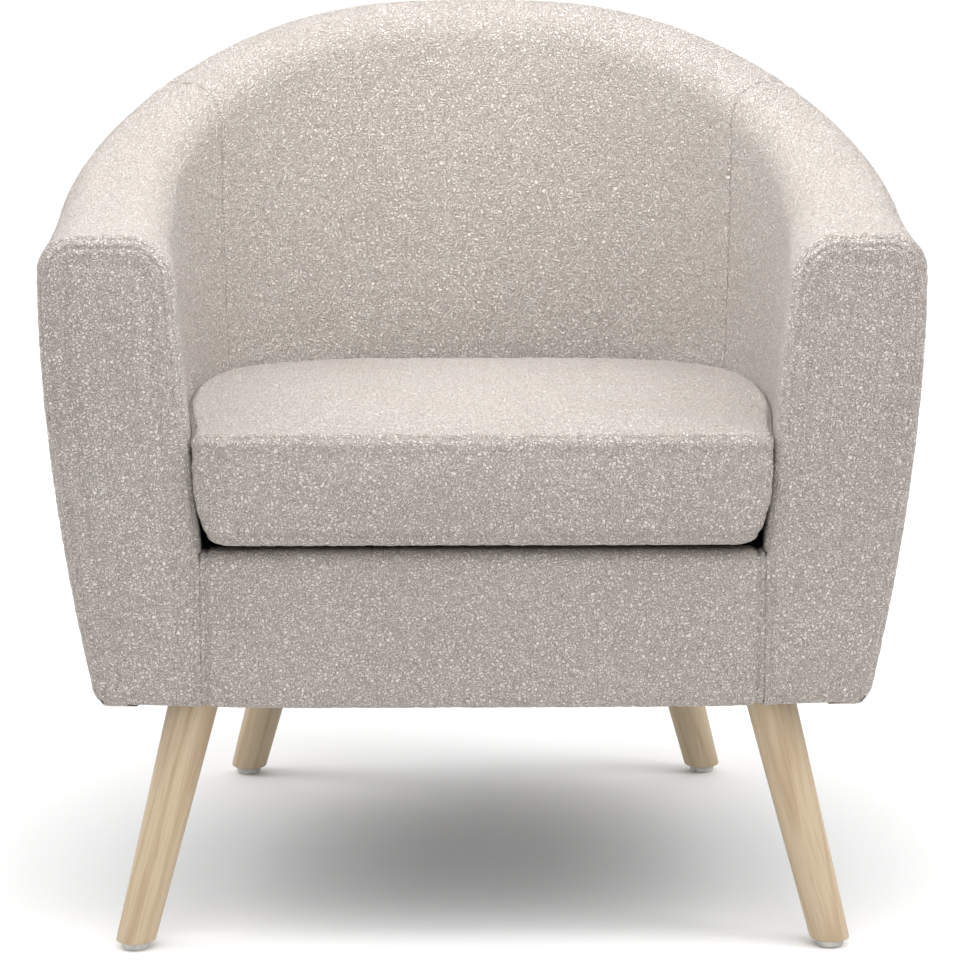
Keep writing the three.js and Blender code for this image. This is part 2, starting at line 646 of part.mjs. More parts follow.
function legSolid(leg) {
  const { low, high } = legAxis(leg);
  const length = low.distanceTo(high);
  const over = LEG_TOP_DIAMETER / 2;
  const growth = (LEG_TOP_DIAMETER - LEG_FOOT_DIAMETER) / 2 / length;
  const radiusAt = (distance) => LEG_TOP_DIAMETER / 2 + growth * distance;
  const cone = onLegAxis(leg, -length - over, over, radiusAt(-length - over), radiusAt(over), 24);
  const slab = new THREE.BoxGeometry(CHAIR_WIDTH, 2 * CHAIR_DEPTH, high.z - low.z);
  slab.translate((leg.side * CHAIR_WIDTH) / 2, 0, (high.z + low.z) / 2);
  const nailRadius = NAIL_DIAMETER / 2 + FIT;
  const nail = cylinder(nailRadius, nailRadius, 2 * (NAIL_LENGTH + FIT), 12);
  nail.translate(low.x, low.y, low.z);
  return solid(cone)
    .intersect(solid(slab))
    .subtract(legBore(leg, SCREW_DIAMETER / 2 + FIT))
    .subtract(solid(nail));
}

// A nail-on glide: a low plastic dome with its nail.
function glideGeometry({ low }) {
  const radius = GLIDE_DIAMETER / 2;
  const profile = [
    [0, 0],
    [radius - 1.5 * GLIDE_EDGE, 0],
    [radius, 1.5 * GLIDE_EDGE],
    [radius, GLIDE_HEIGHT - GLIDE_EDGE],
    [radius - GLIDE_EDGE, GLIDE_HEIGHT],
    [NAIL_DIAMETER / 2, GLIDE_HEIGHT],
    [NAIL_DIAMETER / 2, GLIDE_HEIGHT + NAIL_LENGTH - NAIL_POINT],
    [0, GLIDE_HEIGHT + NAIL_LENGTH],
  ];
  const points = profile.map(([r, z]) => new THREE.Vector2(r, z));
  const turned = closed(new THREE.LatheGeometry(points, 16));
  return turned.rotateX(Math.PI / 2).translate(low.x, low.y, 0);
}

// The corner block that takes a leg's screw, as a plan outline for the right side.
function blockOutline(leg) {
  const [x, y] = leg.top;
  if (y < ARM_STRAIGHT) {
    const front = POST_BACK + FIT;
    const [, , far, near] = sideRailPlan(FIT);
    const wallX = (at) => lerp(near[0], far[0], (at - near[1]) / (far[1] - near[1]));
    return [
      [x - BLOCK_REACH, front],
      [wallX(front), front],
      [wallX(y + BLOCK_REACH), y + BLOCK_REACH],
      [x, y + BLOCK_REACH],
      [x - BLOCK_REACH, y],
    ];
  }
  const [a, b] = REAR_BLOCK_RUN.map((s) => ringPoint(s, RING_TIMBER + EASE).slice(0, 2));
  const length = Math.hypot(b[0] - a[0], b[1] - a[1]);
  const inward = [-(b[1] - a[1]) / length, (b[0] - a[0]) / length];
  const deep = (x - a[0]) * inward[0] + (y - a[1]) * inward[1] + BLOCK_REACH;
  const moved = ([px, py]) => [px + deep * inward[0], py + deep * inward[1]];
  return [a, b, moved(b), moved(a)];
}

function makeLegs() {
  for (const leg of LEGS) {
    const right = blockOutline(leg);
    const outline = leg.side > 0 ? right : mirrored(right);
    const block = solid(plate(outline, () => RING_FLOOR, () => RING_FLOOR + BLOCK_HEIGHT));
    const bored = block.subtract(legBore(leg, SCREW_DIAMETER / 2 + FIT));
    const screwRadius = SCREW_DIAMETER / 2;
    const screw = onLegAxis(leg, -SCREW_IN_LEG, SCREW_IN_BLOCK, screwRadius, screwRadius, 16);
    piece("corner_block_" + leg.name, geometryOf(bored), PLYWOOD);
    piece("leg_" + leg.name, geometryOf(legSolid(leg)), LEG_WOOD);
    piece("leg_screw_" + leg.name, screw, STEEL);
    piece("glide_" + leg.name, glideGeometry(legAxis(leg)), GLIDE_PLASTIC);
  }
}

// ---------------------------------------------------------------- seat cushion
// The point of the seat's plan at the deck that lies a distance in, square to the inside face.
function seatPoint(t, distance) {
  const [x, y] = innerFace(t, DECK_HEIGHT);
  const [ax, ay] = innerFace(t - PLAN_STEP, DECK_HEIGHT);
  const [bx, by] = innerFace(t + PLAN_STEP, DECK_HEIGHT);
  const share = distance / Math.hypot(bx - ax, by - ay);
  return [x - share * (by - ay), y + share * (bx - ax)];
}

// The cushion's outline at the deck, a distance inside its surface, as [x, y] points.
function cushionOutline(inset) {
  const straightBack = cushionBack() - inset;
  const edge = CUSHION_EASE + inset;
  const right = [...ALONG_ARM, ARM_BACK_SEAM, ...ALONG_BACK].map((t) => seatPoint(t, edge));
  const front = [SEAT_WIDTH / 2 - edge, inset - CUSHION_PROUD];
  const corner = [zipReach(), straightBack];
  const round = right.filter(([x, y]) => x > zipReach() + 1 && y < straightBack - 1);
  const half = [front, ...round, corner];
  return [...half, ...mirrored(half).reverse()];
}

const PLAN_STEP = 0.001; // on the plan run, for the direction of the inside face
const zipReach = () => ZIP_LENGTH / 2 + SLIDER_LENGTH;

// The straight back of the cushion, where its zip is, clear of the inside of the back.
function cushionBack() {
  const [, y] = innerFace(1, DECK_HEIGHT);
  const half = SEAT_WIDTH / 2 + SEAT_WAIST;
  const share = (1 - (zipReach() / half) ** SEAT_SQUARENESS) ** (1 / SEAT_SQUARENESS);
  return ARM_STRAIGHT + (y - ARM_STRAIGHT) * share - CUSHION_EASE;
}

// A cushion-shaped block: rounded edges, with sides that lean out as the arms do.
function cushionBlock(inset) {
  const shape = new THREE.Shape(cushionOutline(inset + CUSHION_EDGE).map((p) => new THREE.Vector2(...p)));
  const block = new THREE.ExtrudeGeometry(shape, {
    depth: CUSHION_HEIGHT - 2 * CUSHION_EDGE - 2 * inset,
    bevelSize: CUSHION_EDGE,
    bevelThickness: CUSHION_EDGE,
    bevelSegments: 2,
  }).translate(0, 0, CUSHION_EDGE + inset);
  const at = block.getAttribute("position");
  for (let n = 0; n < at.count; n++) {
    const share = at.getX(n) / (SEAT_WIDTH / 2);
    at.setX(n, at.getX(n) + ARM_LEAN * at.getZ(n) * share);
  }
  return block;
}

function zipBox(length, front, back, height) {
  return new THREE.BoxGeometry(length, back - front, height).translate(
    0,
    (front + back) / 2,
    CUSHION_HEIGHT / 2,
  );
}

// The slider: its body, the loop over it and the pull tab that hangs from it.
function sliderGeometry(back) {
  const x = -(ZIP_LENGTH - SLIDER_LENGTH) / 2;
  const z = CUSHION_HEIGHT / 2;
  const face = back + FIT + SLIDER_THICK;
  const bodyHeight = ZIP_HEIGHT + 2 * SLIDER_OVERHANG;
  const body = new THREE.BoxGeometry(SLIDER_LENGTH, SLIDER_THICK, bodyHeight);
  const bridge = new THREE.BoxGeometry(BRIDGE_WIDTH, BRIDGE_THICK, BRIDGE_HEIGHT);
  const tab = new THREE.BoxGeometry(TAB_WIDTH, TAB_THICK, TAB_LENGTH);
  body.translate(x, face - SLIDER_THICK / 2, z);
  bridge.translate(x, face + BRIDGE_THICK / 2 - FIT, z);
  tab.translate(x, face + BRIDGE_THICK / 2, z + TAB_TOP - TAB_LENGTH / 2);
  return geometryOf(solid(body).add(solid(bridge)).add(solid(tab)));
}

function makeCushion() {
  const back = cushionBack();
  const slot = zipBox(ZIP_LENGTH, back - 2 * COVER, back + COVER, ZIP_HEIGHT);
  const cover = solid(cushionBlock(0)).subtract(solid(cushionBlock(COVER))).subtract(solid(slot));
  const tapeBack = back - COVER / 2;
  const pieces = [
    piece("cushion_cover", geometryOf(cover), PILE),
    piece("cushion_foam", cushionBlock(COVER + FIT), FOAM),
    piece("zip_tape", zipBox(ZIP_LENGTH - 2 * FIT, back - COVER, tapeBack, ZIP_HEIGHT - 2 * FIT), ZIP_TAPE),
    piece("zip_slider", sliderGeometry(back), STEEL),
  ];
  const cushion = new THREE.Group();
  cushion.rotation.x = -DECK_TILT;
  cushion.position.z = DECK_HEIGHT + FIT;
  cushion.add(...pieces);
  chair.add(cushion);
}

// ---------------------------------------------------------------- the chair
makeArmFronts();
makeWall();
makeTopRails();
makeBaseRing();
makeBackPosts();
makeFrontRailTrim();
makeSprings();
makeDeckCloth();
makeDustCover();
makeLegs();
makeCushion();

// Origin at the bottom centre of the bounding box.
chair.updateMatrixWorld(true);
const box = new THREE.Box3().setFromObject(chair, true);
chair.position.set(-(box.min.x + box.max.x) / 2, -(box.min.y + box.max.y) / 2, -box.min.z);
const armchair = new THREE.Group();
armchair.add(chair);
export default armchair;
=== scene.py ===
"""An upholstered tub armchair in looped pile, with a loose seat cushion and four splayed legs.

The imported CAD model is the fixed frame. This script covers it with upholstery, sews and
inflates the seat cushion, turns the legs and lights the chair in a plain pale studio.
Everything is in metres, +Z up, and the chair faces -Y.
"""

import logging
import math
from collections.abc import Callable
from dataclasses import dataclass, field
from enum import Enum

import bmesh
import bpy
import numpy as np
from bpy.types import Material, Mesh, Node, NodeSocket, Object
from mathutils import Matrix, Quaternion, Vector
from mathutils.kdtree import KDTree


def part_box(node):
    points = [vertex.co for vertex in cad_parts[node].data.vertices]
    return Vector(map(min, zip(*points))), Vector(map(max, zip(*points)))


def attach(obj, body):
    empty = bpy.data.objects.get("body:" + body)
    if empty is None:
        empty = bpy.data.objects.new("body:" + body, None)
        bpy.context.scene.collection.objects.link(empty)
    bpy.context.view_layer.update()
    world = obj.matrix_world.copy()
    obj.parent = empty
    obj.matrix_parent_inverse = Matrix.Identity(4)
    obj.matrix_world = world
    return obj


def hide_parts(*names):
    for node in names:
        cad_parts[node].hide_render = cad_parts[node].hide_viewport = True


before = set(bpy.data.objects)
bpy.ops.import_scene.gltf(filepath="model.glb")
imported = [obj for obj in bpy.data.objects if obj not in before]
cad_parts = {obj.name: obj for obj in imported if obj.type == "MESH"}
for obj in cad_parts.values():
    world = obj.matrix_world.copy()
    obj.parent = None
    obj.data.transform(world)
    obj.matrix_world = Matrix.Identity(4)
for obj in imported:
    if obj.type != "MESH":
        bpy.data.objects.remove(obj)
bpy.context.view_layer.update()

log = logging.getLogger("armchair")

Array = np.ndarray
Colour = tuple[float, float, float]

BASE = "base"
CUSHION = "seat_cushion"
SLIDER = "zip_slider_body"

# Whole numbers that scatter the cells of the pile's bumps.
HASH_X, HASH_Y, HASH_Z = 73856093, 19349663, 83492791
KINDS_OF_CELL = 65536

# Steps in a line that is measured and then spaced again.
FINE_STEPS = 600

# A millimetre, as a short step through a face or a small gap.
NUDGE = 0.001


# ------------ small helpers
class Side(Enum):
    """The chair's left and right, as seen from its front."""

    LEFT = -1
    RIGHT = 1

    @property
    def label(self) -> str:
        """The side's name in lower case."""
        return self.name.lower()


def smoothstep(x: Array) -> Array:
    """Eases 0 to 1 with level ends."""
    x = np.clip(x, 0.0, 1.0)
    return x * x * (3 - 2 * x)


def lerp(a: Array, b: Array, share: Array) -> Array:
    """The value a share of the way from a to b."""
    return a + (b - a) * share


def even(length: float, step: float, multiple: int = 1) -> int:
    """Counts the steps of about the given length that fill a length.

    Args:
        length: Length to fill.
        step: Wanted length of a step.
        multiple: The count is a multiple of this.

    Returns:
        The number of steps, at least one multiple.
    """
    return max(1, round(length / step / multiple)) * multiple


def arc_lengths(points: Array) -> Array:
    """Running length along a line of points, starting at zero."""
    steps = np.linalg.norm(np.diff(points, axis=0), axis=1)
    return np.concatenate([[0.0], np.cumsum(steps)])


def resampled(points: Array, count: int) -> Array:
    """Spaces points evenly along a line.

    Args:
        points: The line's points, one to a row.
        count: Number of steps between the new points.

    Returns:
        count + 1 points with the same ends.
    """
    at = arc_lengths(points)
    wanted = np.linspace(0, at[-1], count + 1)
    return np.stack([np.interp(wanted, at, points[:, k]) for k in range(points.shape[1])], -1)


def unit(vectors: Array) -> Array:
    """The vectors scaled to a length of one."""
    return vectors / np.maximum(np.linalg.norm(vectors, axis=-1, keepdims=True), 1e-12)


def filleted(corners: list[tuple[float, float]], radii: list[float], step: float) -> Array:
    """A flat path with rounded corners.

    Args:
        corners: The path's corner points, ends included.
        radii: Radius at each inner corner.
        step: Length of a step round a corner.

    Returns:
        Points along the path.
    """
    path = [np.array(corners[0], float)]
    for k, radius in enumerate(radii, start=1):
        corner = np.array(corners[k], float)
        back = unit(np.array(corners[k - 1]) - corner)
        on = unit(np.array(corners[k + 1]) - corner)
        half = math.acos(float(np.clip(back @ on, -1, 1))) / 2
        reach = radius / math.tan(half)
        centre = corner + unit(back + on) * radius / math.sin(half)
        sweep = math.pi - 2 * half
        first = corner + back * reach - centre
        turn = np.sign(first[1] * back[0] - first[0] * back[1])
        for angle in np.linspace(0, sweep, max(3, even(radius * sweep, step)) + 1):
            c, s = math.cos(turn * angle), math.sin(turn * angle)
            path.append(centre + np.array([c * first[0] - s * first[1], s * first[0] + c * first[1]]))
    path.append(np.array(corners[-1], float))
    return np.array(path)


def filled(first: Array, last: Array, left: Array, right: Array) -> Array:
    """A grid of points that fills the space between four lines.

    Args:
        first: The grid's first row.
        last: Its last row, in the same direction.
        left: Its first column, from the first row to the last.
        right: Its last column, in the same direction.

    Returns:
        The grid, whose edges are the four lines.
    """
    u = np.linspace(0, 1, len(first))[None, :, None]
    v = np.linspace(0, 1, len(left))[:, None, None]
    rows = lerp(first[None], last[None], v)
    columns = lerp(left[:, None], right[:, None], u)
    corners = lerp(lerp(first[0], first[-1], u), lerp(last[0], last[-1], u), v)
    return rows + columns - corners


def cut_ring(ring: Array, counts: tuple[int, ...]) -> list[Array]:
    """Cuts a closed ring into lines that share their ends.

    Args:
        ring: The ring's points, or their numbers.
        counts: Steps in each line, which add up to the ring's.

    Returns:
        The lines, in the ring's order.
    """
    cuts = np.cumsum([0, *counts])
    closed = np.concatenate([ring, ring[:1]])
    return [closed[a : b + 1] for a, b in zip(cuts, cuts[1:])]


def nearest_distance(points: Array, targets: Array) -> Array:
    """Distance from each point to the nearest target.

    Args:
        points: Points to measure from, one to a row.
        targets: Points to measure to, one to a row.

    Returns:
        One distance for each point.
    """
    tree = KDTree(len(targets))
    for k, target in enumerate(targets):
        tree.insert(target, k)
    tree.balance()
    return np.array([tree.find(point)[2] for point in points])


# ------------ meshes
def coordinates(mesh: Mesh) -> Array:
    """A mesh's points, one to a row.

    Args:
        mesh: The mesh.

    Returns:
        The points.
    """
    flat = np.empty(len(mesh.vertices) * 3, np.float32)
    mesh.vertices.foreach_get("co", flat)
    return flat.reshape(-1, 3).astype(float)


def move_points(mesh: Mesh, points: Array) -> None:
    """Moves a mesh's points to new places."""
    mesh.vertices.foreach_set("co", points.astype(np.float32).ravel())
    mesh.update()


class MeshBuilder:
    """Collects points and faces for one piece."""

    def __init__(self) -> None:
        """Starts empty."""
        self.points: list[Array] = []
        self.faces: list[list[int]] = []
        self.count = 0

    def add_points(self, points: Array) -> Array:
        """Adds points.

        Args:
            points: The points, in a grid of any shape.

        Returns:
            Their numbers, in the same grid shape.
        """
        flat = np.asarray(points, float).reshape(-1, 3)
        numbers = np.arange(self.count, self.count + len(flat)).reshape(np.shape(points)[:-1])
        self.points.append(flat)
        self.count += len(flat)
        return numbers

    def add_quads(self, numbers: Array) -> None:
        """Adds the quads of a grid of point numbers."""
        corners = (numbers[:-1, :-1], numbers[:-1, 1:], numbers[1:, 1:], numbers[1:, :-1])
        self.faces += np.stack(corners, -1).reshape(-1, 4).tolist()

    def add_ring(self, first: Array, second: Array) -> None:
        """Joins two closed rings of point numbers with quads."""
        self.add_quads(np.stack([np.append(first, first[0]), np.append(second, second[0])]))

    def add_skirt(self, fine: Array, coarse: Array) -> None:
        """Joins a fine edge to a coarse one.

        Args:
            fine: The fine edge's point numbers.
            coarse: The coarse edge's, each step of which spans a whole number of fine ones.
        """
        ratio = (len(fine) - 1) // (len(coarse) - 1)
        for k in range(len(coarse) - 1):
            run = fine[k * ratio : (k + 1) * ratio + 1].tolist()
            self.faces.append(run + [int(coarse[k + 1]), int(coarse[k])])

    def add_shell(self, front: Array, back: Array) -> None:
        """Adds a closed shell between two grids.

        Args:
            front: Grid of points on the seen side.
            back: Grid behind it, as fine or coarser by a whole number.
        """
        fine, coarse = self.add_points(front), self.add_points(back)
        self.add_quads(fine)
        self.add_quads(coarse)
        for edge in (0, -1):
            self.add_skirt(fine[edge], coarse[edge])
            self.add_skirt(fine[:, edge], coarse[:, edge])

    def add_rings(self, rings: list[Array] | Array) -> list[Array]:
        """Adds closed rings of points, each joined to the one before.

        Args:
            rings: The rings, each with as many points.

        Returns:
            Their point numbers.
        """
        numbers = [self.add_points(ring) for ring in rings]
        for first, second in zip(numbers, numbers[1:]):
            self.add_ring(first, second)
        return numbers

    def add_bar(self, rings: list[Array] | Array) -> None:
        """Adds rings of points as a bar with flat ends."""
        numbers = self.add_rings(rings)
        self.faces += [numbers[0].tolist(), numbers[-1].tolist()[::-1]]

    def add_inside(self, points: Array, ring: Array, counts: tuple[int, ...]) -> Array:
        """Fills a ring that runs forwards along a grid's first row and on round its edges.

        Args:
            points: The grid's inner points.
            ring: The ring's point numbers.
            counts: Steps in each of its four sides.

        Returns:
            Numbers of the inner points.
        """
        first, right, last, left = cut_ring(ring, counts)
        numbers = np.empty((len(left), len(first)), int)
        numbers[1:-1, 1:-1] = self.add_points(points)
        numbers[0], numbers[-1] = first, last[::-1]
        numbers[:, 0], numbers[:, -1] = left[::-1], right
        self.add_quads(numbers)
        return numbers[1:-1, 1:-1].ravel()

    def mesh(self, name: str) -> Mesh:
        """Makes the Blender mesh, with its faces turned outwards.

        Args:
            name: The mesh's name.

        Returns:
            The mesh.
        """
        made = bpy.data.meshes.new(name)
        made.from_pydata(np.concatenate(self.points).tolist(), [], self.faces)
        shape = bmesh.new()
        shape.from_mesh(made)
        bmesh.ops.recalc_face_normals(shape, faces=shape.faces)
        shape.to_mesh(made)
        shape.free()
        return made


def linked(name: str, data: object, at: Matrix | None = None) -> Object:
    """Makes an object in the scene.

    Args:
        name: Its name.
        data: Its mesh, light or camera.
        at: Its place, where it isn't the origin.

    Returns:
        The object.
    """
    made = bpy.data.objects.new(name, data)
    if at is not None:
        made.matrix_world = at
    bpy.context.scene.collection.objects.link(made)
    return made


@dataclass(frozen=True)
class Piece:
    """What a finished piece is called, rides on, stands for and is made of."""

    name: str
    body: str
    slot: str
    finish: Material
    replaces: tuple[str, ...] = ()
    padded: float | None = None

    def place(self, mesh: Mesh, at: Matrix | None = None) -> Object:
        """Puts a mesh into the scene as this piece.

        Args:
            mesh: The mesh.
            at: The object's own place, where it isn't the frame's origin.

        Returns:
            The new object.
        """
        return self.dress(linked(self.name, mesh, at))

    def dress(self, made: Object) -> Object:
        """Gives an object this piece's finish and body, and hides the CAD parts that it replaces.

        Args:
            made: The object, already in place.

        Returns:
            The same object.
        """
        made.data.materials.clear()
        made.data.materials.append(self.finish)
        made.data.shade_smooth()
        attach(made, self.body)
        if self.replaces:
            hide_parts(*self.replaces)
        log.info("%s: %d faces", self.name, len(made.data.polygons))
        return made


# ------------ node trees
class NodeTree:
    """A short way to write a material's nodes."""

    def __init__(self, name: str) -> None:
        """Makes a material with a Principled shader.

        Args:
            name: The material's name.
        """
        self.material = bpy.data.materials.new(name)
        self.material.use_nodes = True
        self.nodes = self.material.node_tree.nodes
        self.links = self.material.node_tree.links
        self.shader = self.nodes["Principled BSDF"]
        self.place = self.nodes.new("ShaderNodeTexCoord").outputs["Object"]

    def add(self, kind: str, links: dict | None = None, **settings: object) -> Node:
        """Adds a node.

        Args:
            kind: The node's type.
            links: What goes into its inputs: sockets or values, by input name or number.
            settings: The node's own properties.

        Returns:
            The node.
        """
        node = self.nodes.new(kind)
        for key, value in settings.items():
            setattr(node, key, value)
        for key, value in (links or {}).items():
            self.feed(node, key, value)
        return node

    def feed(self, node: Node, key: str | int, value: object) -> None:
        """Links a socket to an input, or sets the input's value.

        Args:
            node: The node.
            key: The input's name or number.
            value: A socket or a plain value.
        """
        if isinstance(value, NodeSocket):
            self.links.new(value, node.inputs[key])
        else:
            node.inputs[key].default_value = value

    def math(self, operation: str, a: object, b: object = 0.0) -> NodeSocket:
        """One arithmetic step."""
        return self.add("ShaderNodeMath", {0: a, 1: b}, operation=operation).outputs[0]

    def scaled(self, place: NodeSocket, by: tuple) -> NodeSocket:
        """A place stretched along its axes."""
        return self.add("ShaderNodeVectorMath", {0: place, 1: by}, operation="MULTIPLY").outputs[0]

    def noise(self, place: NodeSocket, scale: float, detail: float = 2.0) -> Node:
        """A noise texture."""
        return self.add("ShaderNodeTexNoise", {"Vector": place, "Scale": scale, "Detail": detail})

    def ramp(self, value: NodeSocket, stops: list[tuple[float, tuple]]) -> NodeSocket:
        """A colour ramp.

        Args:
            value: What drives it.
            stops: Positions and colours, in order.

        Returns:
            The colour socket.
        """
        node = self.add("ShaderNodeValToRGB", {"Fac": value})
        elements = node.color_ramp.elements
        while len(elements) < len(stops):
            elements.new(0.5)
        for element, (position, colour) in zip(elements, stops):
            element.position = position
            element.color = (*colour, 1.0)
        return node.outputs["Color"]

    def mix(self, share: object, a: object, b: object, blend: str = "MIX") -> NodeSocket:
        """A mix of two colours.

        Args:
            share: How much of the second, from 0 to 1.
            a: First colour or socket.
            b: Second colour or socket.
            blend: How they are mixed.

        Returns:
            The colour socket.
        """
        node = self.add("ShaderNodeMix", data_type="RGBA", blend_type=blend)
        for key, value in (("Factor", share), (6, a), (7, b)):
            value = (*value, 1.0) if isinstance(value, tuple) and len(value) == 3 else value
            self.feed(node, key, value)
        return node.outputs[2]

    def bump(self, height: NodeSocket, distance: float, strength: float = 1.0) -> None:
        """Raises the surface by a height from 0 to 1 times a distance."""
        node = self.add("ShaderNodeBump", {"Height": height, "Distance": distance, "Strength": strength})
        self.links.new(node.outputs["Normal"], self.shader.inputs["Normal"])

    def colour(self, value: object) -> None:
        """Sets the base colour."""
        value = (*value, 1.0) if isinstance(value, tuple) else value
        self.feed(self.shader, "Base Color", value)

    def surface(self, **values: float) -> Material:
        """Sets plain numbers on the shader's own sockets.

        Args:
            values: The numbers, by socket name in lower case with underscores.

        Returns:
            The finished material.
        """
        for key, value in values.items():
            self.shader.inputs[key.replace("_", " ").title().replace("Ior", "IOR")].default_value = value
        return self.material


# ------------ finishes
@dataclass(frozen=True)
class LoopedPile:
    """Curly looped pile: small worm-like loops, with painted shade in the crevices between them and a
    painted highlight on their tips.
    """

    loop: Colour = (0.600, 0.545, 0.505)
    # The tip colour is a painted highlight on the loops' highest points; the crevice colour is painted
    # shade in the hollows between them.
    tip: Colour = (0.670, 0.618, 0.580)
    crevice_shade: Colour = (0.290, 0.230, 0.185)
    loop_size: float = 0.0025
    loop_height: float = 0.0023
    wander: float = 0.0034

    def material(self, name: str) -> Material:
        """Makes the material.

        Args:
            name: Its name.

        Returns:
            The material.
        """
        tree = NodeTree(name)
        drift = tree.noise(tree.place, 0.75 / self.loop_size, 1.0).outputs["Color"]
        centred = tree.add("ShaderNodeVectorMath", {0: drift, 1: (0.5, 0.5, 0.5)}, operation="SUBTRACT")
        moved = tree.scaled(centred.outputs[0], (self.wander * 2,) * 3)
        place = tree.add("ShaderNodeVectorMath", {0: tree.place, 1: moved}, operation="ADD").outputs[0]
        wanted = {"Vector": place, "Scale": 1 / self.loop_size}
        cells = tree.add("ShaderNodeTexVoronoi", wanted, feature="DISTANCE_TO_EDGE")
        loops = tree.math("MINIMUM", tree.math("MULTIPLY", cells.outputs["Distance"], 3.4), 1.0)
        strands = tree.noise(place, 0.8 / self.loop_size, 2.0).outputs["Fac"]
        fine = tree.noise(tree.place, 2.6 / self.loop_size, 1.0).outputs["Fac"]
        height = tree.math("MULTIPLY", tree.math("POWER", loops, 0.6), 0.55)
        height = tree.math("ADD", height, tree.math("MULTIPLY", strands, 0.30))
        height = tree.math("ADD", height, tree.math("MULTIPLY", fine, 0.15))
        # Painted shade at the low heights and a painted highlight at the high ones, round the loops' own
        # colour.
        shade = tree.ramp(height, [(0.24, self.crevice_shade), (0.54, self.loop), (0.82, self.tip)])
        nap = tree.noise(tree.place, 9.0, 2.0).outputs["Fac"]
        tint = tree.ramp(nap, [(0.3, (0.965, 0.955, 0.945)), (0.7, (1.0, 1.0, 1.0))])
        tree.colour(tree.mix(1.0, shade, tint, "MULTIPLY"))
        tree.bump(height, self.loop_height, 1.0)
        return tree.surface(
            roughness=0.95, sheen_weight=0.22, sheen_roughness=0.55, specular_ior_level=0.15
        )


@dataclass(frozen=True)
class LegWood:
    """Pale oiled wood whose grain runs along the piece's own Z axis."""

    light: Colour = (0.500, 0.395, 0.268)
    dark: Colour = (0.415, 0.308, 0.195)
    pore: Colour = (0.36, 0.24, 0.13)
    ring: float = 0.011

    def material(self, name: str) -> Material:
        """Makes the material.

        Args:
            name: Its name.

        Returns:
            The material.
        """
        tree = NodeTree(name)
        along = tree.scaled(tree.place, (1.0, 1.0, 0.055))
        bend = tree.noise(along, 30.0, 2.0).outputs["Fac"]
        rings = tree.add(
            "ShaderNodeTexWave",
            {"Vector": tree.scaled(tree.place, (1.0, 0.55, 0.05)), "Scale": 0.5 / self.ring,
             "Distortion": 5.0, "Detail": 2.0, "Detail Scale": 1.4},
            wave_type="BANDS", bands_direction="DIAGONAL",
        )
        figure = tree.math("MULTIPLY", rings.outputs["Fac"], 0.55)
        tone = tree.math("ADD", figure, tree.math("MULTIPLY", bend, 0.45))
        base = tree.ramp(tone, [(0.15, self.dark), (0.45, self.light), (0.85, self.light)])
        fibre = tree.noise(tree.scaled(tree.place, (1.0, 1.0, 0.02)), 900.0, 2.0).outputs["Fac"]
        streak = tree.ramp(fibre, [(0.33, self.pore), (0.5, (1.0, 1.0, 1.0))])
        tree.colour(tree.mix(0.2, base, streak, "MULTIPLY"))
        tree.bump(fibre, 0.00012, 0.6)
        return tree.surface(roughness=0.52, specular_ior_level=0.4, coat_weight=0.06, coat_roughness=0.4)


@dataclass(frozen=True)
class PlainWood:
    """Frame timber and boards that the covers hide."""

    light: Colour
    dark: Colour
    stretch: Colour = (1.0, 0.06, 1.0)
    scale: float = 160.0

    def material(self, name: str) -> Material:
        """Makes the material.

        Args:
            name: Its name.

        Returns:
            The material.
        """
        tree = NodeTree(name)
        grain = tree.noise(tree.scaled(tree.place, self.stretch), self.scale, 4.0).outputs["Fac"]
        tree.colour(tree.ramp(grain, [(0.3, self.dark), (0.7, self.light)]))
        tree.bump(grain, 0.0003, 0.5)
        return tree.surface(roughness=0.8)


@dataclass(frozen=True)
class Weave:
    """Cloth with a plain weave."""

    thread: Colour
    gap: Colour
    pitch: float = 0.0009
    roughness: float = 0.9

    def material(self, name: str) -> Material:
        """Makes the material.

        Args:
            name: Its name.

        Returns:
            The material.
        """
        tree = NodeTree(name)
        split = tree.add("ShaderNodeSeparateXYZ", {0: tree.place}).outputs
        turns = [tree.math("MULTIPLY", split[k], math.tau / self.pitch / 2) for k in range(3)]
        waves = [tree.math("SINE", turn) for turn in turns]
        cross = tree.math("ABSOLUTE", tree.math("MULTIPLY", waves[0], tree.math("ADD", waves[1], waves[2])))
        fuzz = tree.noise(tree.place, 1.5 / self.pitch, 2.0).outputs["Fac"]
        height = tree.math("ADD", tree.math("MULTIPLY", cross, 0.6), tree.math("MULTIPLY", fuzz, 0.4))
        tree.colour(tree.ramp(height, [(0.15, self.gap), (0.7, self.thread)]))
        tree.bump(height, self.pitch * 0.4, 0.7)
        return tree.surface(roughness=self.roughness, sheen_weight=0.1)


@dataclass(frozen=True)
class Metal:
    """Drawn steel with fine scratches."""

    bright: Colour = (0.62, 0.62, 0.63)
    dull: Colour = (0.42, 0.42, 0.43)
    roughness: float = 0.34

    def material(self, name: str) -> Material:
        """Makes the material.

        Args:
            name: Its name.

        Returns:
            The material.
        """
        tree = NodeTree(name)
        marks = tree.noise(tree.scaled(tree.place, (1.0, 6.0, 1.0)), 700.0, 3.0).outputs["Fac"]
        tree.colour(tree.ramp(marks, [(0.35, self.dull), (0.65, self.bright)]))
        tree.bump(marks, 0.00005, 0.4)
        return tree.surface(roughness=self.roughness, metallic=1.0)


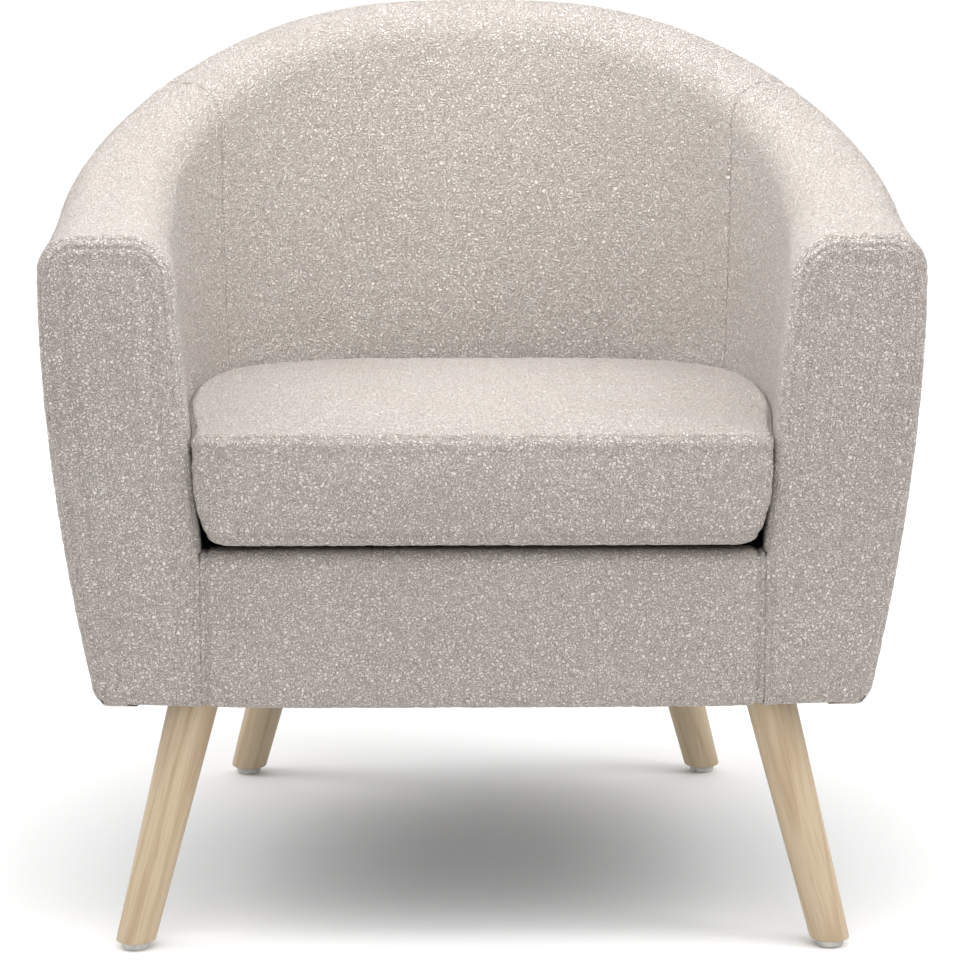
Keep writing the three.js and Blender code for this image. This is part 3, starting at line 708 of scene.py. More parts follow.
@dataclass(frozen=True)
class MouldedPlastic:
    """Moulded plastic with a fine spark-eroded texture."""

    colour: Colour = (0.62, 0.62, 0.60)
    worn: Colour = (0.46, 0.455, 0.44)

    def material(self, name: str) -> Material:
        """Makes the material.

        Args:
            name: Its name.

        Returns:
            The material.
        """
        tree = NodeTree(name)
        grain = tree.noise(tree.place, 1800.0, 2.0).outputs["Fac"]
        scuff = tree.noise(tree.place, 120.0, 3.0).outputs["Fac"]
        tree.colour(tree.ramp(scuff, [(0.35, self.worn), (0.6, self.colour)]))
        tree.bump(grain, 0.00006, 0.5)
        return tree.surface(roughness=0.45)


@dataclass(frozen=True)
class Thread:
    """Twisted sewing thread."""

    colour: Colour = (0.60, 0.525, 0.465)
    shade: Colour = (0.42, 0.35, 0.30)

    def material(self, name: str) -> Material:
        """Makes the material.

        Args:
            name: Its name.

        Returns:
            The material.
        """
        tree = NodeTree(name)
        twist = tree.noise(tree.place, 2200.0, 1.0).outputs["Fac"]
        tree.colour(tree.ramp(twist, [(0.35, self.shade), (0.6, self.colour)]))
        tree.bump(twist, 0.00015, 0.8)
        return tree.surface(roughness=0.8, sheen_weight=0.2)


@dataclass
class Finishes:
    """Every material of the chair."""

    pile: Material = field(default_factory=lambda: LoopedPile().material("looped_pile"))
    leg_wood: Material = field(default_factory=lambda: LegWood().material("leg_wood"))
    timber: Material = field(
        default_factory=lambda: PlainWood((0.60, 0.45, 0.27), (0.44, 0.31, 0.17)).material("frame_timber")
    )
    hardboard: Material = field(
        default_factory=lambda: PlainWood(
            (0.28, 0.17, 0.09), (0.20, 0.115, 0.06), stretch=(1, 1, 1), scale=900.0
        ).material("hardboard")
    )
    black_cloth: Material = field(
        default_factory=lambda: Weave((0.016, 0.016, 0.017), (0.006, 0.006, 0.006)).material("black_cloth")
    )
    zip_tape: Material = field(
        default_factory=lambda: Weave((0.62, 0.55, 0.48), (0.45, 0.38, 0.32), 0.0006).material("zip_tape")
    )
    steel: Material = field(default_factory=lambda: Metal().material("steel"))
    glide: Material = field(default_factory=lambda: MouldedPlastic().material("glide_plastic"))
    thread: Material = field(default_factory=lambda: Thread().material("sewing_thread"))


# ------------ the pile's own bumps
@dataclass(frozen=True)
class PileBumps:
    """Rounded bumps scattered through space, for the pile's clustered curls."""

    cell: float = 0.0050
    height: float = 0.0011
    seed: int = 23

    def at(self, points: Array) -> Array:
        """Height of the pile, about zero on average.

        Args:
            points: Places in space.

        Returns:
            One height for each point.
        """
        offsets = np.random.default_rng(self.seed).random((KINDS_OF_CELL, 3))
        place = points / self.cell
        cells = np.floor(place).astype(np.int64)
        nearest = np.full(points.shape[:-1], np.inf)
        for shift in np.ndindex(3, 3, 3):
            cell = cells + (np.array(shift) - 1)
            key = (cell[..., 0] * HASH_X) ^ (cell[..., 1] * HASH_Y) ^ (cell[..., 2] * HASH_Z)
            away = cell + offsets[key & (KINDS_OF_CELL - 1)] - place
            nearest = np.minimum(nearest, (away**2).sum(-1))
        return self.height * (0.5 - np.clip(nearest, 0, 1))


@dataclass(frozen=True)
class Seam:
    """How a cover dips into a seam and swells beside it."""

    dip: float = 0.0015
    width: float = 0.0022
    swell: float = 0.0007
    swell_reach: float = 0.011

    def depth(self, distance: Array) -> Array:
        """Depth below the plain surface.

        Args:
            distance: Distance from the seam.

        Returns:
            The depth; less than zero stands proud.
        """
        valley = self.dip * np.exp(-((distance / self.width) ** 2))
        pillow = self.swell * np.exp(-(((distance - self.swell_reach) / (self.swell_reach * 0.6)) ** 2))
        return valley - pillow


@dataclass(frozen=True)
class RolledEdge:
    """A rounded edge between two covers, whose seam lies half way round it."""

    radius: float = 0.0105
    least_radius: float = 0.0001
    sink: float = 0.5
    seam: Seam = Seam(dip=0.0006, width=0.0016, swell=0.0002)

    def offsets(self, distance: Array, radius: Array | None = None) -> tuple[Array, Array]:
        """Where a cover lies near the edge.

        Args:
            distance: Length along the cover from the seam; less than zero carries on round the edge.
            radius: The edge's radius where it isn't the usual one.

        Returns:
            How far the cover lies below its own face, and how far it lies in from the other
            cover's face.
        """
        r = np.maximum(self.radius if radius is None else radius, self.least_radius)
        angle = np.clip(math.pi / 4 + distance / r, 0, math.pi / 2)
        dip = self.seam.depth(np.abs(distance)) + np.maximum(-distance, 0) * self.sink
        below = r - r * np.sin(angle) + dip * np.sin(angle)
        along = r - r * np.cos(angle) + dip * np.cos(angle)
        beyond = np.maximum(distance - r * math.pi / 4, 0)
        under = np.maximum(-distance - r * math.pi / 4, 0)
        return below + under, along + beyond


# ------------ the tub's surface
@dataclass(frozen=True)
class TubShape:
    """The upholstered tub as two curved faces and a rounded rim between them.

    A run t goes from 0 at an arm's front to 1 at the middle of the back; s carries it round
    the tub, from 0 at the right arm's front to 2 at the left one's.
    """

    front: float
    half_width: float
    full_depth: float
    arm_height: float
    back_height: float
    underside: float
    deck: float
    deck_fall: float = 0.04
    arm_thickness: float = 0.1034
    seat_waist: float = 0.013
    back_thickness: float = 0.0772
    arm_lean: float = 0.085
    back_lean: float = 0.2
    side_shoulder: float = 0.530
    side_taper: float = 0.0405
    side_belly: float = 1.8
    back_shoulder: float = 0.650
    back_taper: float = 0.065
    back_belly: float = 1.3
    foot_radius: float = 0.014
    outer_radius: float = 0.030
    inner_radius: float = 0.035
    straight: float = 0.215
    straight_share: float = 0.3
    outer_squareness: float = 2.25
    seat_squareness: float = 3.2
    rim_squareness: float = 2.3
    rim_start: float = 3.05
    rim_crest: float = 3.6
    arm_back_seam: float = 0.59
    cushion_height: float = 0.096

    @classmethod
    def from_frame(cls) -> "TubShape":
        """Takes the overall sizes from the CAD pieces' boxes.

        Returns:
            The shape of this frame's tub.
        """
        low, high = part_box("arm_front_cover_right")
        outside_low, outside_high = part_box("outside_back_cover")
        _, arm_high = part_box("outside_arm_cover_right")
        return cls(
            front=low.y,
            half_width=arm_high.x,
            full_depth=outside_high.y - low.y,
            arm_height=high.z,
            back_height=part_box("inside_back_cover")[1].z,
            underside=outside_low.z,
            deck=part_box("front_rail_cover")[1].z,
        )

    @property
    def seat_half(self) -> float:
        """Half the width between the arms at the deck, at their fronts."""
        return self.half_width - self.arm_thickness - self.arm_lean * (self.arm_height - self.deck)

    @property
    def seat_depth(self) -> float:
        """Arm fronts to the inside of the back at the deck."""
        return self.full_depth - self.back_thickness - self.back_lean * (self.back_height - self.deck)

    def deck_at(self, y: Array) -> Array:
        """Height of the deck at a distance behind the arm fronts."""
        return self.deck - self.deck_fall * y

    def plan(
        self,
        t: Array,
        front_half: Array,
        mid_half: Array,
        depth: Array,
        squareness: Array,
    ) -> tuple[Array, Array]:
        """A U-shaped plan.

        Args:
            t: Places along it.
            front_half: Half the width at the arm fronts.
            mid_half: Half the width where the straight arms end.
            depth: Distance from the fronts to the middle of the back.
            squareness: 2 is a round back, more is squarer.

        Returns:
            x and the distance behind the arm fronts.
        """
        along = np.clip(t / self.straight_share, 0, 1)
        angle = np.clip((t - self.straight_share) / (1 - self.straight_share), 0, 1) * math.pi / 2
        cos, sin = np.abs(np.cos(angle)), np.sin(angle)
        reach = (cos**squareness + sin**squareness) ** (-1 / squareness)
        bent = t > self.straight_share
        x = np.where(bent, mid_half * reach * cos, lerp(front_half, mid_half, smoothstep(along)))
        y = np.where(bent, self.straight + (depth - self.straight) * reach * sin, self.straight * along)
        return x, y

    def drawn_in(self, z: Array, shoulder: float, taper: float, belly: float) -> Array:
        """How far the outside has drawn in towards the foot.

        Args:
            z: Heights.
            shoulder: Height where the drawing in starts.
            taper: How much it comes to at the underside.
            belly: 1 is a straight taper, more keeps it full for longer.

        Returns:
            The distances.
        """
        below = np.clip((shoulder - z) / (shoulder - self.underside), 0, 1)
        foot = np.clip(self.underside + self.foot_radius - z, 0, self.foot_radius)
        return taper * below**belly + self.foot_radius - np.sqrt(self.foot_radius**2 - foot**2)

    def outer(self, t: Array, z: Array) -> tuple[Array, Array]:
        """The outer face's plan.

        Args:
            t: The run.
            z: Heights.

        Returns:
            x and the distance behind the arm fronts.
        """
        half = self.half_width - self.drawn_in(z, self.side_shoulder, self.side_taper, self.side_belly)
        depth = self.full_depth - self.drawn_in(z, self.back_shoulder, self.back_taper, self.back_belly)
        return self.plan(t, half, half, depth, self.outer_squareness)

    def inner(self, t: Array, z: Array) -> tuple[Array, Array]:
        """The inner face's plan.

        Args:
            t: The run.
            z: Heights.

        Returns:
            x and the distance behind the arm fronts.
        """
        rise = np.maximum(0, z - self.deck)
        half = self.seat_half + self.arm_lean * rise
        whole = self.back_height - self.deck - self.cushion_height
        squareness = lerp(
            self.seat_squareness, self.rim_squareness, np.clip((rise - self.cushion_height) / whole, 0, 1)
        )
        depth = self.seat_depth + self.back_lean * rise
        return self.plan(t, half, half + self.seat_waist, depth, squareness)

    def wall(self, t: Array, z: Array) -> Array:
        """Thickness of the wall, across it.

        Args:
            t: The run.
            z: Heights.

        Returns:
            The thickness at each place.
        """
        ox, oy = self.outer(t, z)
        ix, iy = self.inner(t, z)
        return np.hypot(ix - ox, iy - oy)

    def in_wall(self, s: Array, c: Array, z: Array) -> Array:
        """Points inside the wall.

        Args:
            s: The run round the tub.
            c: Distance in from the outer face.
            z: Heights.

        Returns:
            Points in the frame's coordinates.
        """
        t = np.where(s <= 1, s, 2 - s)
        ox, oy = self.outer(t, z)
        ix, iy = self.inner(t, z)
        share = c / np.hypot(ix - ox, iy - oy)
        x = np.where(s <= 1, 1, -1) * lerp(ox, ix, share)
        return np.stack(np.broadcast_arrays(x, lerp(oy, iy, share) + self.front, z), -1)

    def rim(self, t: Array) -> Array:
        """Height of the rim."""
        rise = 1 - (1 - np.clip(t, 0, 1) ** self.rim_start) ** self.rim_crest
        return lerp(self.arm_height, self.back_height, rise)

    def outside(self, s: Array, row: Array, depth: Array) -> Array:
        """Points of the outer face.

        Args:
            s: The run.
            row: Length up the profile from its foot: less than zero is under the body, then
                come the foot's rounding and a share of the wall as 1 + share.
            depth: Depth below the surface.

        Returns:
            Points in the frame's coordinates.
        """
        t = np.where(s <= 1, s, 2 - s)
        turn = np.clip(row, 0, 1) * math.pi / 2
        foot = self.underside + self.foot_radius * (1 - np.cos(turn)) + depth * np.cos(turn)
        top = self.rim(t) - self.outer_radius
        z = lerp(foot, np.broadcast_to(top, np.shape(foot)), np.clip(row - 1, 0, 1))
        inward = depth * np.sin(turn) + np.maximum(-row, 0)
        return self.in_wall(s, inward, z)

    def over_rim(self, s: Array, q: Array, depth: Array) -> Array:
        """Points over the rim and down the inside.

        Args:
            s: The run.
            q: 1 to 2 rounds the rim's outer edge, 2 to 3 crosses its top, 3 to 4 rounds its
                inner edge, and 4 to 5 goes down the inside to the deck.
            depth: Depth below the surface.

        Returns:
            Points in the frame's coordinates.
        """
        t = np.where(s <= 1, s, 2 - s)
        rim = self.rim(t)
        out_turn = np.clip(q - 1, 0, 1) * math.pi / 2
        in_turn = np.clip(q - 3, 0, 1) * math.pi / 2
        out_radius, in_radius = self.outer_radius - depth, self.inner_radius - depth
        z_out = rim - self.outer_radius + out_radius * np.sin(out_turn)
        z_in = rim - self.inner_radius + in_radius * np.cos(in_turn)
        floor = self.deck_at(self.inner(t, np.full_like(rim, self.deck))[1])
        z_down = lerp(rim - self.inner_radius, floor, np.clip(q - 4, 0, 1))
        z = np.select([q <= 2, q <= 3, q <= 4], [z_out, rim - depth, z_in], z_down)
        wall = self.wall(t, z)
        c_out = self.outer_radius - out_radius * np.cos(out_turn)
        c_top = lerp(self.outer_radius, wall - self.inner_radius, np.clip(q - 2, 0, 1))
        c_in = wall - self.inner_radius + in_radius * np.sin(in_turn)
        c = np.select([q <= 2, q <= 3, q <= 4], [c_out, c_top, c_in], wall - depth)
        return self.in_wall(s, c, z)

    def run_lengths(self) -> tuple[Array, Array]:
        """Measures half the tub along the middle of its wall.

        Returns:
            Lengths from the arm's front and the runs t that they belong to.
        """
        t = np.linspace(0, 1, FINE_STEPS + 1)
        z = np.full_like(t, (self.deck + self.arm_height) / 2)
        ox, oy = self.outer(t, z)
        ix, iy = self.inner(t, z)
        return arc_lengths(np.stack([(ox + ix) / 2, (oy + iy) / 2], -1)), t


# ------------ stitching
@dataclass
class StitchRow:
    """A row of short sewn stitches that lies on a cover."""

    pitch: float = 0.0050
    length: float = 0.0036
    radius: float = 0.00042
    sides: int = 6
    arch: float = 0.00035
    sunk: float = 0.4

    def add_to(self, builder: MeshBuilder, line: Array, normals: Array) -> None:
        """Lays the stitches along a line.

        Args:
            builder: Where their meshes go.
            line: Points on the cover.
            normals: The cover's outward direction at each point.
        """
        at = arc_lengths(line)
        for k in range(int(at[-1] / self.pitch)):
            steps = k * self.pitch + np.linspace(0, 1, 6) * self.length
            spine = np.stack([np.interp(steps, at, line[:, n]) for n in range(3)], -1)
            out = unit(np.stack([np.interp(steps, at, normals[:, n]) for n in range(3)], -1))
            lift = self.arch * np.sin(np.linspace(0, math.pi, 6)) - self.radius * self.sunk
            spine = spine + out * lift[:, None]
            ahead = unit(spine[-1] - spine[0])
            across = unit(np.cross(out, ahead))
            shrink = np.array([0.35, 0.85, 1.0, 1.0, 0.85, 0.35]) * self.radius
            angles = (np.arange(self.sides) * math.tau / self.sides)[None, :, None]
            ring = np.cos(angles) * across[:, None] + np.sin(angles) * out[:, None]
            builder.add_bar(spine[:, None] + ring * shrink[:, None, None])


# ------------ upholstery of the tub
@dataclass
class TubUpholstery:
    """The covers of the arms, back and front rail, each with the pad under it."""

    shape: TubShape
    finishes: Finishes
    grain: float = 0.0023
    backing: int = 6
    cover: float = 0.0025
    pad: float = 0.0268
    front_pad: float = 0.0088
    backing_follow: float = 0.3
    hem: float = 0.018
    rim_flat: float = 0.02
    bumps: PileBumps = PileBumps()
    edge: RolledEdge = RolledEdge()
    seam: Seam = Seam()
    flat_edge: float = 0.0015
    front_bulge: float = 0.0028
    stitch_inset: float = 0.0095
    stitch_dip: float = 0.0015
    stitch_width: float = 0.0018
    rail_stitch_inset: float = 0.0055
    rim_seam: Seam = Seam(dip=0.0008, width=0.0016, swell=0.0)
    puckers: PileBumps = PileBumps(cell=0.0085, height=0.0016, seed=31)
    pucker_reach: float = 0.004
    fine_band: float = 0.013
    heel: float = 0.02
    flat_from: float = 4.93
    flat_span: float = 0.14
    rail_from: float = 4.8
    rail_span: float = 0.3
    front_fullness: float = 0.0009
    front_slope: float = 0.012
    corner_ease: float = 0.008
    outline_spread: float = 1.15
    rail_top_radius: float = 0.010
    rail_roll: float = 0.030
    path_step: float = 0.001
    unstitched: int = 6
    unstitched_foot: int = 8
    unstitched_top: int = 12
    rail_seam: Seam = Seam(dip=0.0010, width=0.0018, swell=0.0)
    rail_plump: float = 0.0018
    rail_plump_reach: float = 0.03
    rail_stitch_depth: float = 1.5
    rail_overlap: float = 0.0011
    seam_grain: float = 0.00115
    seam_turn: float = 0.0024

    def build(self) -> None:
        """Builds every cover."""
        t, below, ends = self.arm_columns()
        for side in Side:
            s = t if side is Side.RIGHT else 2 - t
            self.wall_covers("arm", "_" + side.label, (s, below, ends), self.shape.arm_height)
            self.arm_front(side)
        self.wall_covers("back", "", self.back_columns(), self.shape.back_height)
        self.front_rail()

    # ------ sheets on the wall
    def arm_columns(self) -> tuple[Array, Array, Array]:
        """Columns of an arm's cover.

        Returns:
            The run t, the depth of the rolled edge, and the distance to the nearest sewn end.
        """
        lengths, runs = self.shape.run_lengths()
        end = np.interp(self.shape.arm_back_seam, runs, lengths)
        start = self.edge.radius * math.pi / 4
        whole = end - self.edge.radius + start
        distance = np.linspace(0, whole, even(whole, self.grain, self.backing) + 1)
        below, along = self.edge.offsets(distance)
        return np.interp(along, lengths, runs), below, whole - distance

    def back_columns(self) -> tuple[Array, Array, Array]:
        """Columns of the back's cover.

        Returns:
            The run s, a depth of zero, and the distance to the nearest sewn end.
        """
        lengths, runs = self.shape.run_lengths()
        start = np.interp(self.shape.arm_back_seam, runs, lengths)
        whole = 2 * (lengths[-1] - start)
        distance = np.linspace(0, whole, even(whole, self.grain, self.backing) + 1)
        middle = lengths[-1]
        along = start + distance
        t = np.interp(np.where(along <= middle, along, 2 * middle - along), lengths, runs)
        s = np.where(along <= middle, t, 2 - t)
        return s, np.zeros_like(s), np.minimum(distance, whole - distance)

    def rim_rows(self, drop: float) -> tuple[Array, Array]:
        """Rows from the outer seam over the rim and down the inside.

        Args:
            drop: Height of the inside, which sets how many rows it gets.

        Returns:
            The rows' places in the profile, and their distances from the seam.
        """
        shape = self.shape
        top = shape.back_thickness - shape.outer_radius - shape.inner_radius + self.rim_flat
        spans = [shape.outer_radius * math.pi / 2, top, shape.inner_radius * math.pi / 2, drop]
        counts = [even(span, self.grain) for span in spans]
        counts[-1] += -sum(counts) % self.backing
        parts = [1 + k + np.arange(n) / n for k, n in enumerate(counts)]
        steps = [np.full(n, span / n) for span, n in zip(spans, counts)]
        q = np.append(np.concatenate(parts), 5.0)
        return q, np.concatenate([[0.0], np.cumsum(np.concatenate(steps))])

    def wall_rows(self, height: float) -> tuple[Array, Array]:
        """Rows from under the body up to the outer seam.

        Args:
            height: Height of the wall, which sets how many rows it gets.

        Returns:
            The rows' places in the profile, and their distances from the seam.
        """
        arc = self.shape.foot_radius * math.pi / 2
        counts = [even(self.hem, 2 * self.grain), even(arc, self.grain), even(height, self.grain)]
        counts[-1] += -sum(counts) % self.backing
        hem = -self.hem * (1 - np.arange(counts[0]) / counts[0])
        foot = np.arange(counts[1]) / counts[1]
        wall = 1 + np.arange(counts[2] + 1) / counts[2]
        round_foot = height + arc * (1 - foot)
        away = np.concatenate([np.full(counts[0], height + arc), round_foot, height * (2 - wall)])
        return np.concatenate([hem, foot, wall]), away

    def sheet(
        self, piece: Piece, place: Callable, s: Array, rows: Array, depth: Array, thick: float
    ) -> None:
        """Builds one closed cover on the wall.

        Args:
            piece: What it is.
            place: Gives points for s, rows and depth.
            s: The run of each column.
            rows: The profile place of each row.
            depth: Depth of the cover below the plain surface, rows by columns.
            thick: Thickness of the cover with its pad.
        """
        s_grid, row_grid = np.broadcast_arrays(s[None, :], rows[:, None])
        surface = place(s_grid, row_grid, depth)
        inward = place(s_grid, row_grid, depth + NUDGE) - surface
        face = surface - unit(inward) * self.bumps.at(surface)[..., None]
        coarse = (slice(None, None, self.backing),) * 2
        back = place(s_grid[coarse], row_grid[coarse], depth[coarse] * self.backing_follow + thick)
        builder = MeshBuilder()
        builder.add_shell(face, back)
        piece.place(builder.mesh(piece.name))

    def cover_piece(self, name: str, *pads: str) -> Piece:
        """A pile-covered piece that stands for a CAD cover and the pads under it."""
        return Piece(name + "_upholstery", BASE, "boucle", self.finishes.pile, (name, *pads), 0.9)

    def depths(self, ends: Array, below: Array, away: Array) -> Array:
        """Depth of a cover: its rolled front edge, its sewn ends and the seam along the rim."""
        across = below + self.seam.depth(ends)
        return across[None, :] + self.rim_seam.depth(away)[:, None]

    def wall_covers(self, part: str, end: str, columns: tuple[Array, Array, Array], top: float) -> None:
        """The inside cover of a part of the wall, which goes over its top, and the outside one.

        Args:
            part: What part it is, as its pieces are named.
            end: The end of its pieces' names.
            columns: Each column's run s, depth, and distance to the nearest sewn end.
            top: Height of the part, which sets how many rows there are.
        """
        shape, (s, below, ends) = self.shape, columns
        rows, away = self.rim_rows(top - shape.deck)
        piece = self.cover_piece(f"inside_{part}_cover{end}", f"{part}_pad{end}")
        self.sheet(piece, shape.over_rim, s, rows, self.depths(ends, below, away), self.pad)
        rows, away = self.wall_rows(top - shape.underside)
        piece = self.cover_piece(f"outside_{part}_cover{end}")
        self.sheet(piece, shape.outside, s, rows, self.depths(ends, below, away), self.cover)

    # ------ arm fronts
    def front_outline(self, side: Side, q: Array, inset: Array) -> Array:
        """An arm front's outline, as x and z.

        Args:
            side: Which arm.
            q: 0 to 1 up the outside, 1 to 4 over the rim, 4 to 5 down the inside and 5 to 6
                down beside the front rail.
            inset: Distance inside the outline.

        Returns:
            Points, x and z in the last axis.
        """
        shape = self.shape
        zero = np.zeros_like(q)
        foot = shape.underside + inset
        up = lerp(foot, shape.arm_height - shape.outer_radius, np.clip(q, 0, 1) ** self.outline_spread)
        over = shape.over_rim(zero, np.clip(q, 1, 4), inset)
        inner_top = shape.arm_height - shape.inner_radius
        down = np.where(
            q <= 5,
            lerp(inner_top, shape.deck, np.clip(q - 4, 0, 1)),
            lerp(shape.deck, foot, np.clip(q - 5, 0, 1)),
        )
        left = shape.in_wall(zero, inset, up)
        right = shape.in_wall(zero, shape.wall(zero, down) - inset, down)
        points = np.where((q <= 1)[..., None], left, np.where((q <= 4)[..., None], over, right))
        return np.stack([points[..., 0] * side.value, points[..., 2]], -1)

    def front_stations(self, side: Side) -> tuple[Array, int, int]:
        """Evenly spaced stations q round an arm front's outline.

        Args:
            side: Which arm.

        Returns:
            The stations of the two long sides and the rim, and how many steps a long side and
            the rim have.
        """
        q = np.linspace(0, 6, 3 * FINE_STEPS + 1)
        at = arc_lengths(self.front_outline(side, q, np.full_like(q, self.edge.radius)))
        corners = np.interp([0, 1.5, 3.5, 6], q, at)
        tall, wide = even(corners[1], self.grain), even(corners[2] - corners[1], self.grain)
        spans = [np.linspace(a, b, n + 1) for a, b, n in zip(corners, corners[1:], (tall, wide, tall))]
        stations = np.concatenate([spans[0], spans[1][1:], spans[2][1:]])
        return np.interp(stations, at, q), tall, wide

    def arm_front(self, side: Side) -> None:
        """Padded panel that closes an arm's front, with a line of stitches inside its edge.

        Args:
            side: Which arm.
        """
        q, tall, wide = self.front_stations(side)
        flatter = smoothstep((q - self.flat_from) / self.flat_span)
        radius = lerp(self.edge.radius, self.flat_edge, flatter)
        builder = MeshBuilder()
        reach = self.edge.radius * math.pi / 4 + self.fine_band
        distances = np.linspace(-self.seam_turn, reach, even(reach, self.seam_grain) + 1)
        stitched = self.stitch_distance(q)
        lines = [self.front_ring(side, q, radius, distance, wide) for distance in distances]
        near = [np.exp(-(((distance - stitched) / self.pucker_reach) ** 2)) for distance in distances]
        rings = builder.add_rings([self.piled(line, share) for line, share in zip(lines, near)])
        self.fill_front(builder, lines[-1], rings[-1], tall, wide)
        self.close_front(builder, side, q, rings[0], wide)
        name = "arm_front_cover_" + side.label
        self.cover_piece(name, "arm_front_pad_" + side.label).place(builder.mesh(name))
        self.front_stitches(side, q, radius, wide)

    def front_ring(
        self, side: Side, q: Array, radius: Array, distance: float | Array, wide: int
    ) -> Array:
        """One ring of an arm front, a distance along the cover from its seam.

        Args:
            side: Which arm.
            q: Stations round the sides and rim.
            radius: Radius of the edge at each.
            distance: Distance from the seam.
            wide: Steps along the bottom edge, which closes the ring.

        Returns:
            The ring's points.
        """
        distance = np.broadcast_to(distance, q.shape)
        below, inset = self.edge.offsets(distance, radius)
        flat = self.front_outline(side, q, inset)
        below = below + self.groove(distance, self.stitch_distance(q)) - self.bulge(distance)
        points = np.stack([flat[:, 0], self.shape.front + below, flat[:, 1]], -1)
        share = (np.arange(1, wide) / wide)[:, None]
        bottom = lerp(points[-1], points[0], share)
        level = self.edge.offsets(distance[:1])[0] - self.bulge(distance[:1])
        ends = np.minimum(share, 1 - share)[:, 0] * wide * self.grain
        eased = smoothstep(ends / self.corner_ease)
        bottom[:, 1] = self.shape.front + lerp(bottom[:, 1] - self.shape.front, level, eased)
        return np.concatenate([points, bottom])

    def groove(self, distance: Array, stitched: Array) -> Array:
        """Depth of the stitched line at a distance from the seam."""
        return self.stitch_dip * np.exp(-(((distance - stitched) / self.stitch_width) ** 2))

    def bulge(self, distance: Array) -> Array:
        """How far the padding stands out at a distance from the seam."""
        return self.front_fullness * smoothstep(distance / self.front_slope)

    def stitch_distance(self, q: Array) -> Array:
        """Distance from the seam to the stitched line, along the cover, at stations q."""
        usual = self.edge.radius * (math.pi / 4 - 1) + self.stitch_inset
        return lerp(usual, self.rail_stitch_inset, self.beside_rail(q))

    def beside_rail(self, q: Array) -> Array:
        """How far a station q has come down beside the front rail, eased from 0 to 1."""
        return smoothstep((q - self.rail_from) / self.rail_span)

    def fill_front(self, builder: MeshBuilder, line: Array, ring: Array, tall: int, wide: int) -> None:
        """Fills an arm front inside its last ring with an even grid.

        Args:
            builder: Where the mesh goes.
            line: The ring's plain points.
            ring: The ring's point numbers.
            tall: Steps up a long side.
            wide: Steps across.
        """
        counts = (tall, wide, tall, wide)
        outer, top, inner, bottom = cut_ring(line, counts)
        grid = filled(outer, inner[::-1], bottom[::-1], top)
        u = np.linspace(-1, 1, wide + 1)[:, None]
        v = np.linspace(-1, 1, tall + 1)[None, :]
        grid[..., 1] -= self.front_bulge * (1 - u**4) * (1 - v**8)
        builder.add_inside(self.piled(grid[1:-1, 1:-1]), ring, counts)

    def close_front(self, builder: MeshBuilder, side: Side, q: Array, ring: Array, wide: int) -> None:
        """Turns an arm front's edge back to the face that lies on the post, and closes it.

        Args:
            builder: Where the mesh goes.
            side: Which arm.
            q: Stations round the sides and rim.
            ring: The outermost ring's point numbers.
            wide: Steps along the bottom edge.
        """
        shape = self.shape
        inset = np.where(q < self.heel, self.cover, lerp(self.pad, self.cover, self.beside_rail(q)))
        eased = smoothstep((q + self.heel) / (10 * self.heel))
        flat = self.front_outline(side, q, inset * eased + NUDGE)
        back = np.stack([flat[:, 0], np.full(len(q), shape.front + self.front_pad), flat[:, 1]], -1)
        share = (np.arange(1, wide) / wide)[:, None]
        closing = builder.add_points(np.concatenate([back, lerp(back[-1], back[0], share)]))
        builder.add_ring(ring, closing)
        builder.faces.append(closing.tolist())

    def piled(self, points: Array, puckered: Array | None = None) -> Array:
        """Puts the pile's bumps on points that face the front.

        Args:
            points: The plain points.
            puckered: Share of the puckers at each of the first points; the rest get none.

        Returns:
            The raised points.
        """
        out = self.bumps.at(points)
        if puckered is not None:
            out = out + self.puckers.at(points) * np.pad(puckered, (0, len(points) - len(puckered)))
        return points - np.array([0, 1.0, 0]) * out[..., None]

    def front_stitches(self, side: Side, q: Array, radius: Array, wide: int) -> None:
        """The stitches inside an arm front's edge.

        Args:
            side: Which arm.
            q: Stations round the sides and rim.
            radius: Radius of the edge at each.
            wide: Steps along the bottom edge.
        """
        ring = self.front_ring(side, q, radius, self.stitch_distance(q), wide)
        line = ring[self.unstitched : len(q) - self.unstitched]
        normals = np.tile([0.0, -1.0, 0.0], (len(line), 1))
        builder = MeshBuilder()
        StitchRow().add_to(builder, line, normals)
        name = "arm_front_stitches_" + side.label
        Piece(name, BASE, "boucle", self.finishes.thread).place(builder.mesh(name))

